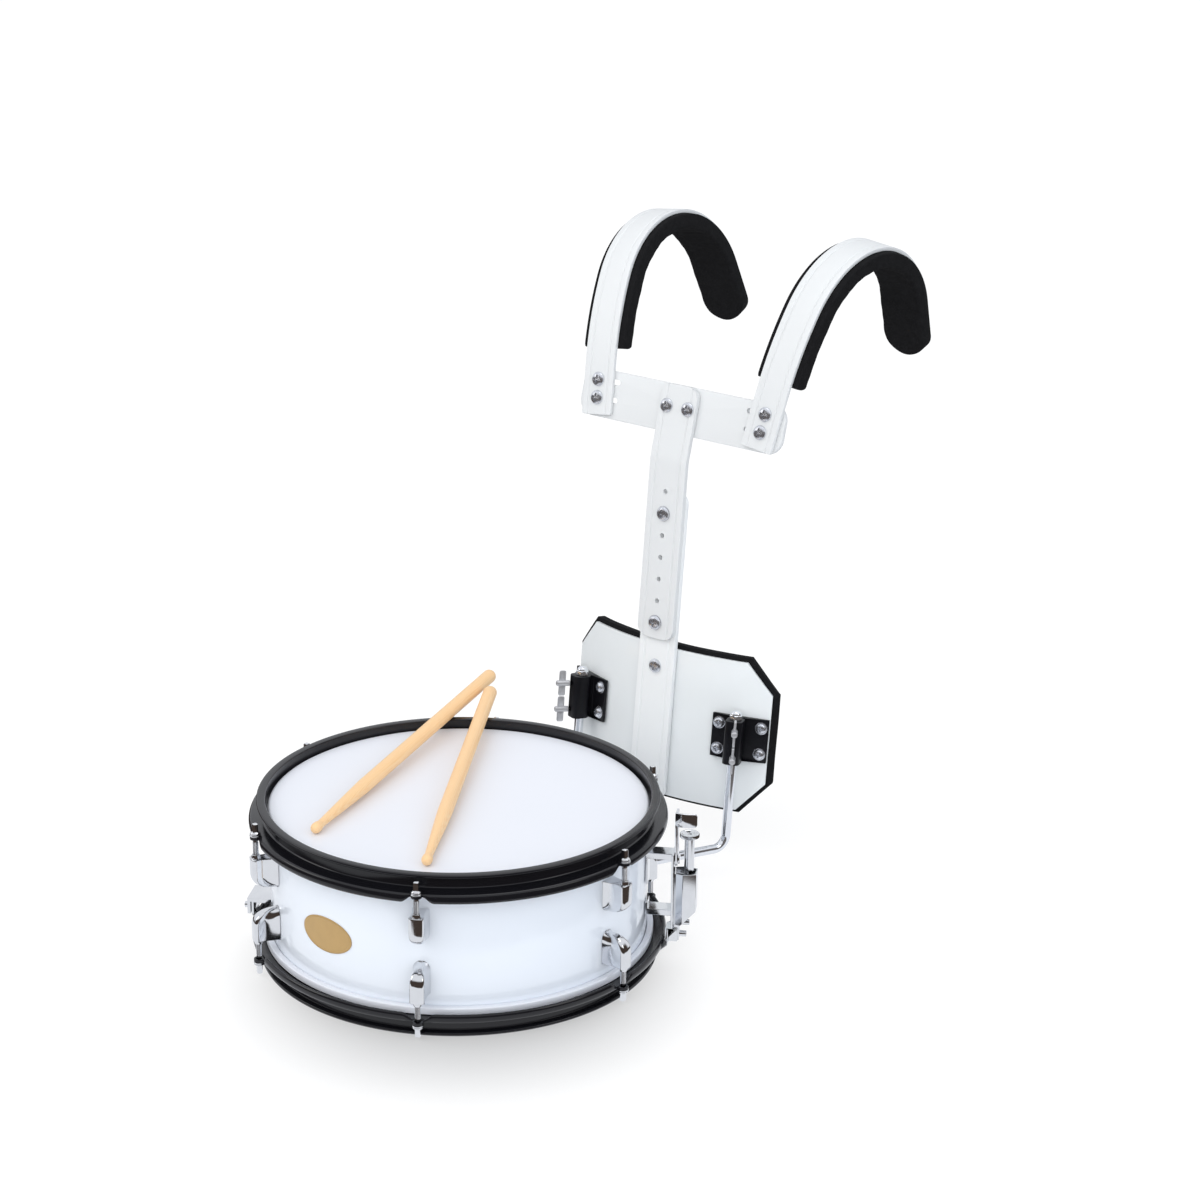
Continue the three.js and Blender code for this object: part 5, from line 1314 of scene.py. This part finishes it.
def pan_head(radius, height, recess):
    """Turned head whose axis is -Y, with a cross cut into its crown; its seat is at y = 0."""
    shares = ((0.0, 1.0), (0.45, 0.97), (0.78, 0.78), (0.95, 0.45), (1.0, 0.12), (1.0, 0.0), (0.0, 0.0))
    profile = rounded(np.array(shares) * (radius, height), [1, 1.2, 0.8, 0.5, 0.2, 0.1, 1], 3, closed=False)
    mesh = solid_mesh("head", Solid().grid(turned(profile, 36), False, True, FACING))
    for x, z in ((recess, recess * 0.27), (recess * 0.27, recess)):
        mesh = carve(mesh, box_solid((-x, -height - 1, -z), (x, -height * 0.45, z)))
    return mesh_parts(mesh)


def nut_rings(radius, height):
    """Hexagon nut along -Y from y = 0, with its corners cut back at both ends."""
    angle = circle(36)
    flat = hexagon(radius, angle)
    cut = np.minimum(flat, radius * 0.98) * 0.97
    return np.array([points_of(reach * np.sin(angle), -y * height, reach * np.cos(angle))
                     for reach, y in ((cut, 0.0), (flat, 0.12), (flat, 0.88), (cut, 1.0))])


# Head radius, height and recess; washer radius, hole and thickness; nut radius and height
FRAME_HEAD, PLATE_HEAD = pan_head(7.3, 3.8, 4.2), pan_head(5.4, 3.8, 3.0)
FRAME_WASHER, PLATE_WASHER = (7.8, 2.7, 0.8), (6.4, 2.3, 1.2)
SMALL_NUT, LARGE_NUT = (3.4, 3.2), (5.0, 3.6)
SHANK_RADIUS = 2.3


def bolt(solid, matrix, head, washer=None, through=None, nut=None):
    """A head on its seat, a washer under it, a shank behind it and a nut at the far side."""
    lift = 0.0
    if washer:
        radius, hole, lift = washer
        profile = rounded([(hole, 0), (radius, 0), (radius, lift), (hole, lift)], 0.25, 2)
        solid.grid(turned(profile, 32), True, True, matrix @ FACING)
    solid.add(*head, matrix @ frame_at(y=-lift))
    if through:
        solid.tube(pin((0, 0.5 - lift, 0), (0, through, 0), SHANK_RADIUS, 20), matrix)
    if nut:
        solid.tube(nut_rings(*nut), matrix @ frame_at(y=through - 1.0))


print("heads with", len(FRAME_HEAD[1]), "faces")

# %% Bolts of the carrier
CARRIER_BOLT = 196.5
YOKE_BOLT = (12.9, 53.0)
PLATE_BOLT = (21.7, 13.5)
BRACKET_WEB = 3.3


def bracket_frame(side):
    """The middle of a bracket on the belly plate's front, turned to face outwards."""
    turn = side * math.degrees(BRACKET_TURN)
    return CARRIER @ frame_at(side * BRACKET_X, BRACKET_DEPTH, BRACKET_MIDDLE, turn)


solid = Solid()
for i in (0, 5):
    bolt(solid, CARRIER @ frame_at(z=FIRST_HOLE + i * HOLE_PITCH), FRAME_HEAD, FRAME_WASHER, 12.4, SMALL_NUT)
for side in (-1, 1):
    bolt(solid, YOKE @ frame_at(side * YOKE_BOLT[0], 0, YOKE_BOLT[1]), FRAME_HEAD, None, 14.5, LARGE_NUT)
finish_piece("yoke_bolts", solid, ZINC, body="yoke", sharp=32)

solid = Solid()
bolt(solid, CARRIER @ frame_at(y=LOWER_DEPTH - STEM_THICKNESS, z=CARRIER_BOLT), FRAME_HEAD, None, 6.0)
for side in (-1, 1):
    for x in (-PLATE_BOLT[0], PLATE_BOLT[0]):
        for z in (-PLATE_BOLT[1], PLATE_BOLT[1]):
            bolt(solid, bracket_frame(side) @ frame_at(x, -BRACKET_WEB, z), PLATE_HEAD, PLATE_WASHER)
finish_piece("carrier_bolts", solid, ZINC, body="carrier", sharp=32)

for side, label in SIDES:
    solid = Solid()
    for z in SLOT_LEVELS:
        x = side * (SHOULDER_X + (z - SHOULDER_FOOT) * math.tan(math.radians(SHOULDER_TILT)))
        at_slot = YOKE @ frame_at(x, STEM_THICKNESS - BAR_THICKNESS, z)
        bolt(solid, at_slot, FRAME_HEAD, None, 14.5, LARGE_NUT)
    finish_piece(f"shoulder_bolts_{label}", solid, ZINC, body=f"shoulder_{label}", sharp=32)
print("bolts placed")

# %% [markdown]
# A hinge bracket is one upright extrusion: a plate with sharp corners, a narrow web and a tube with a
# flattened, rounded front. It is bored for the bent rod and for the two wing screws. A wing screw is a
# stud, a round hub with a domed end and two flat tabs with round corners, above and below the hub.

# %% Wing screws
WING_TURN = 34.0
WING_SPACING = 28.0
WING_HALF = 13.5
HUB_START, HUB_END, HUB_RADIUS = 12.4, 27.6, 3.1
TAB_NEAR, TAB_FAR = 17.6, 24.6
WING_EDGE = 1.2
STUD_RADIUS = 2.6
STUD_BORE = 2.9


def wing_solid(matrix):
    """Stud and hub along -Y, and the two tabs in the plane x = 0."""
    profile = [(0, J_RADIUS + 0.6), (STUD_RADIUS, J_RADIUS + 0.6), (STUD_RADIUS, HUB_START),
               (HUB_RADIUS - 0.5, HUB_START), (HUB_RADIUS, HUB_START + 1.5), (HUB_RADIUS, HUB_END - 0.2),
               (0, HUB_END)]
    profile = rounded(profile, [0.3, 0.3, 0.3, 0.3, 0.6, 1.6, 0.3], 4, closed=False)
    solid = Solid().grid(turned(profile, 32), False, True, matrix @ FACING)
    rows = [(0.7, -WING_EDGE), (0.2, 0.2 - WING_EDGE), (0.0, 0.7 - WING_EDGE)]
    rows += [(less, -x) for less, x in rows[::-1]]
    for side in (-1, 1):
        outline = round_rect((TAB_NEAR, TAB_FAR), sorted((side * 1.6, side * WING_HALF)), 1.7, 6)
        shapes = [(inset(outline, less), x) for less, x in rows]
        solid.tube(np.array([points_of(x, -shape[:, 0], shape[:, 1]) for shape, x in shapes]), matrix)
    return solid


def bracket_rings(side):
    """The extrusion's outline in x and y, carried up with its edges pulled in at both ends."""
    mid = -side * TUBE_SHIFT
    tube = [(5, -BRACKET_WEB), (5, -8), (8.8, -11), (8.8, -26.6)]
    tube = [(mid + x, y) for x, y in tube] + [(mid - x, y) for x, y in tube[::-1]]
    corners = [(-29, -0.3), (29, -0.3), (29, -BRACKET_WEB)] + tube + [(-29, -BRACKET_WEB)]
    outline = rounded(corners[::-1], [0.4, 1.2, 1.2, 3.0, 5.5, 5.5, 3.0, 1.2, 1.2, 0.4, 0.4, 0.4], 6)
    half = BRACKET_HEIGHT / 2
    rows = [(-half, 0.5), (-half + 0.15, 0.15), (-half + 0.5, 0.0)]
    rows += [(-z, less) for z, less in rows[::-1]]
    return np.array([points_of(*inset(outline, less).T, z) for z, less in rows])


for side, label in SIDES:
    plate = bracket_frame(side)
    bore = [(-side * TUBE_SHIFT, -TUBE_OFFSET, z) for z in (-30, 30)]
    mesh = solid_mesh("bracket", Solid().tube(bracket_rings(side), plate))
    mesh = carve(mesh, Solid().tube(pin(*bore, J_RADIUS + 0.3), plate))
    for i, z in enumerate((WING_SPACING / 2, -WING_SPACING / 2), 1):
        at_wing = CARRIER @ frame_at(side * TUBE_X, TUBE_DEPTH, BRACKET_MIDDLE + z, side * WING_TURN)
        mesh = carve(mesh, Solid().tube(pin((0, -2.0, 0), (0, -16.0, 0), STUD_BORE), at_wing))
        wing = wing_solid(at_wing)
        finish_piece(f"wing_screw_cast_{label}_{i}", wing, CAST, f"wing_screw_{label}_{i}", sharp=45)
    dress(f"hinge_bracket_extruded_{label}", mesh, BLACK_STEEL, f"hinge_bracket_{label}", sharp=32)
print("wing screws placed")

# %% [markdown]
# ## Drumsticks
# A stick is turned from maple: a bead, a neck, a long taper, a shaft and a round butt. Its radius is a
# function of the distance from the tip. The grain follows the stick, so the stick's own coordinates go
# into an attribute that the wood material reads.

# %% Sticks
STICK_LENGTH = 395.0
STICK_RADIUS = 7.0
BEAD_RADIUS = 5.0
BEAD_LENGTH = 13.0
BEAD_PEAK = 0.45 * BEAD_LENGTH
NECK_RADIUS = 3.6
TAPER = 90.0
BUTT_ROUND = 5.0
# Where each bead lies, and the stick's heading in degrees
STICK_TIPS = ((78.9, -135.6, -32.0), (-46.4, -148.2, -16.232))


def stick_radius(z):
    """Bead: two quarter ellipses. Taper: a straight run that eases into the shaft. Butt: an ellipse."""
    front = BEAD_RADIUS * quarter(z / BEAD_PEAK)
    back = NECK_RADIUS + (BEAD_RADIUS - NECK_RADIUS) * quarter((BEAD_LENGTH - z) / (BEAD_LENGTH - BEAD_PEAK))
    t = np.clip((z - BEAD_LENGTH) / TAPER, 0, 1)
    shaft = NECK_RADIUS + (STICK_RADIUS - NECK_RADIUS) * (1.08 * t - 0.08 * t ** 4)
    shaft = shaft - STICK_RADIUS * 0.45 * (1 - quarter((STICK_LENGTH - z) / BUTT_ROUND))
    return np.where(z < BEAD_PEAK, front, np.where(z < BEAD_LENGTH, back, shaft))


levels = np.concatenate([
    crowded(BEAD_PEAK, 10), np.linspace(6.4, BEAD_LENGTH, 9),
    np.linspace(14, 102, 30), np.linspace(108, STICK_LENGTH - BUTT_ROUND, 40),
    STICK_LENGTH - BUTT_ROUND * (1 - np.sin(np.linspace(0.15, math.pi / 2, 8)))])
rings = turned(np.column_stack([stick_radius(levels), levels]), 48)
low, high = BATTER_TOP + 0.3 + BEAD_RADIUS, DRUM_HEIGHT + 0.3 + STICK_RADIUS
rest = (HOOP_IN + HOOP_OUT) / 2 + 3.0
for i, (x, y, heading) in enumerate(STICK_TIPS):
    turn = math.radians(heading)
    along = x * math.sin(turn) + y * math.cos(turn)
    run = -along + math.sqrt(along ** 2 - (x ** 2 + y ** 2) + rest ** 2)
    slope = math.asin((high - low) / run)
    direction = Vector((math.sin(turn) * math.cos(slope), math.cos(turn) * math.cos(slope), math.sin(slope)))
    lie = Vector((0, 0, 1)).rotation_difference(direction).to_matrix().to_4x4()
    lie = frame_at(x, y, low) @ lie
    solid = Solid().tube(rings, lie)
    stick = finish_piece(f"stick_turned_{i + 1}", solid, MAPLE, f"stick_{i + 1}", sharp=60)
    own = moved(mesh_parts(stick.data)[0], lie.inverted()) + np.array([31.0 * i, 12.0, 0.0])
    grain_layer = stick.data.attributes.new("grain", "FLOAT_VECTOR", "POINT")
    grain_layer.data.foreach_set("vector", own.astype(np.float32).ravel())
print("sticks", STICK_LENGTH, "mm long")
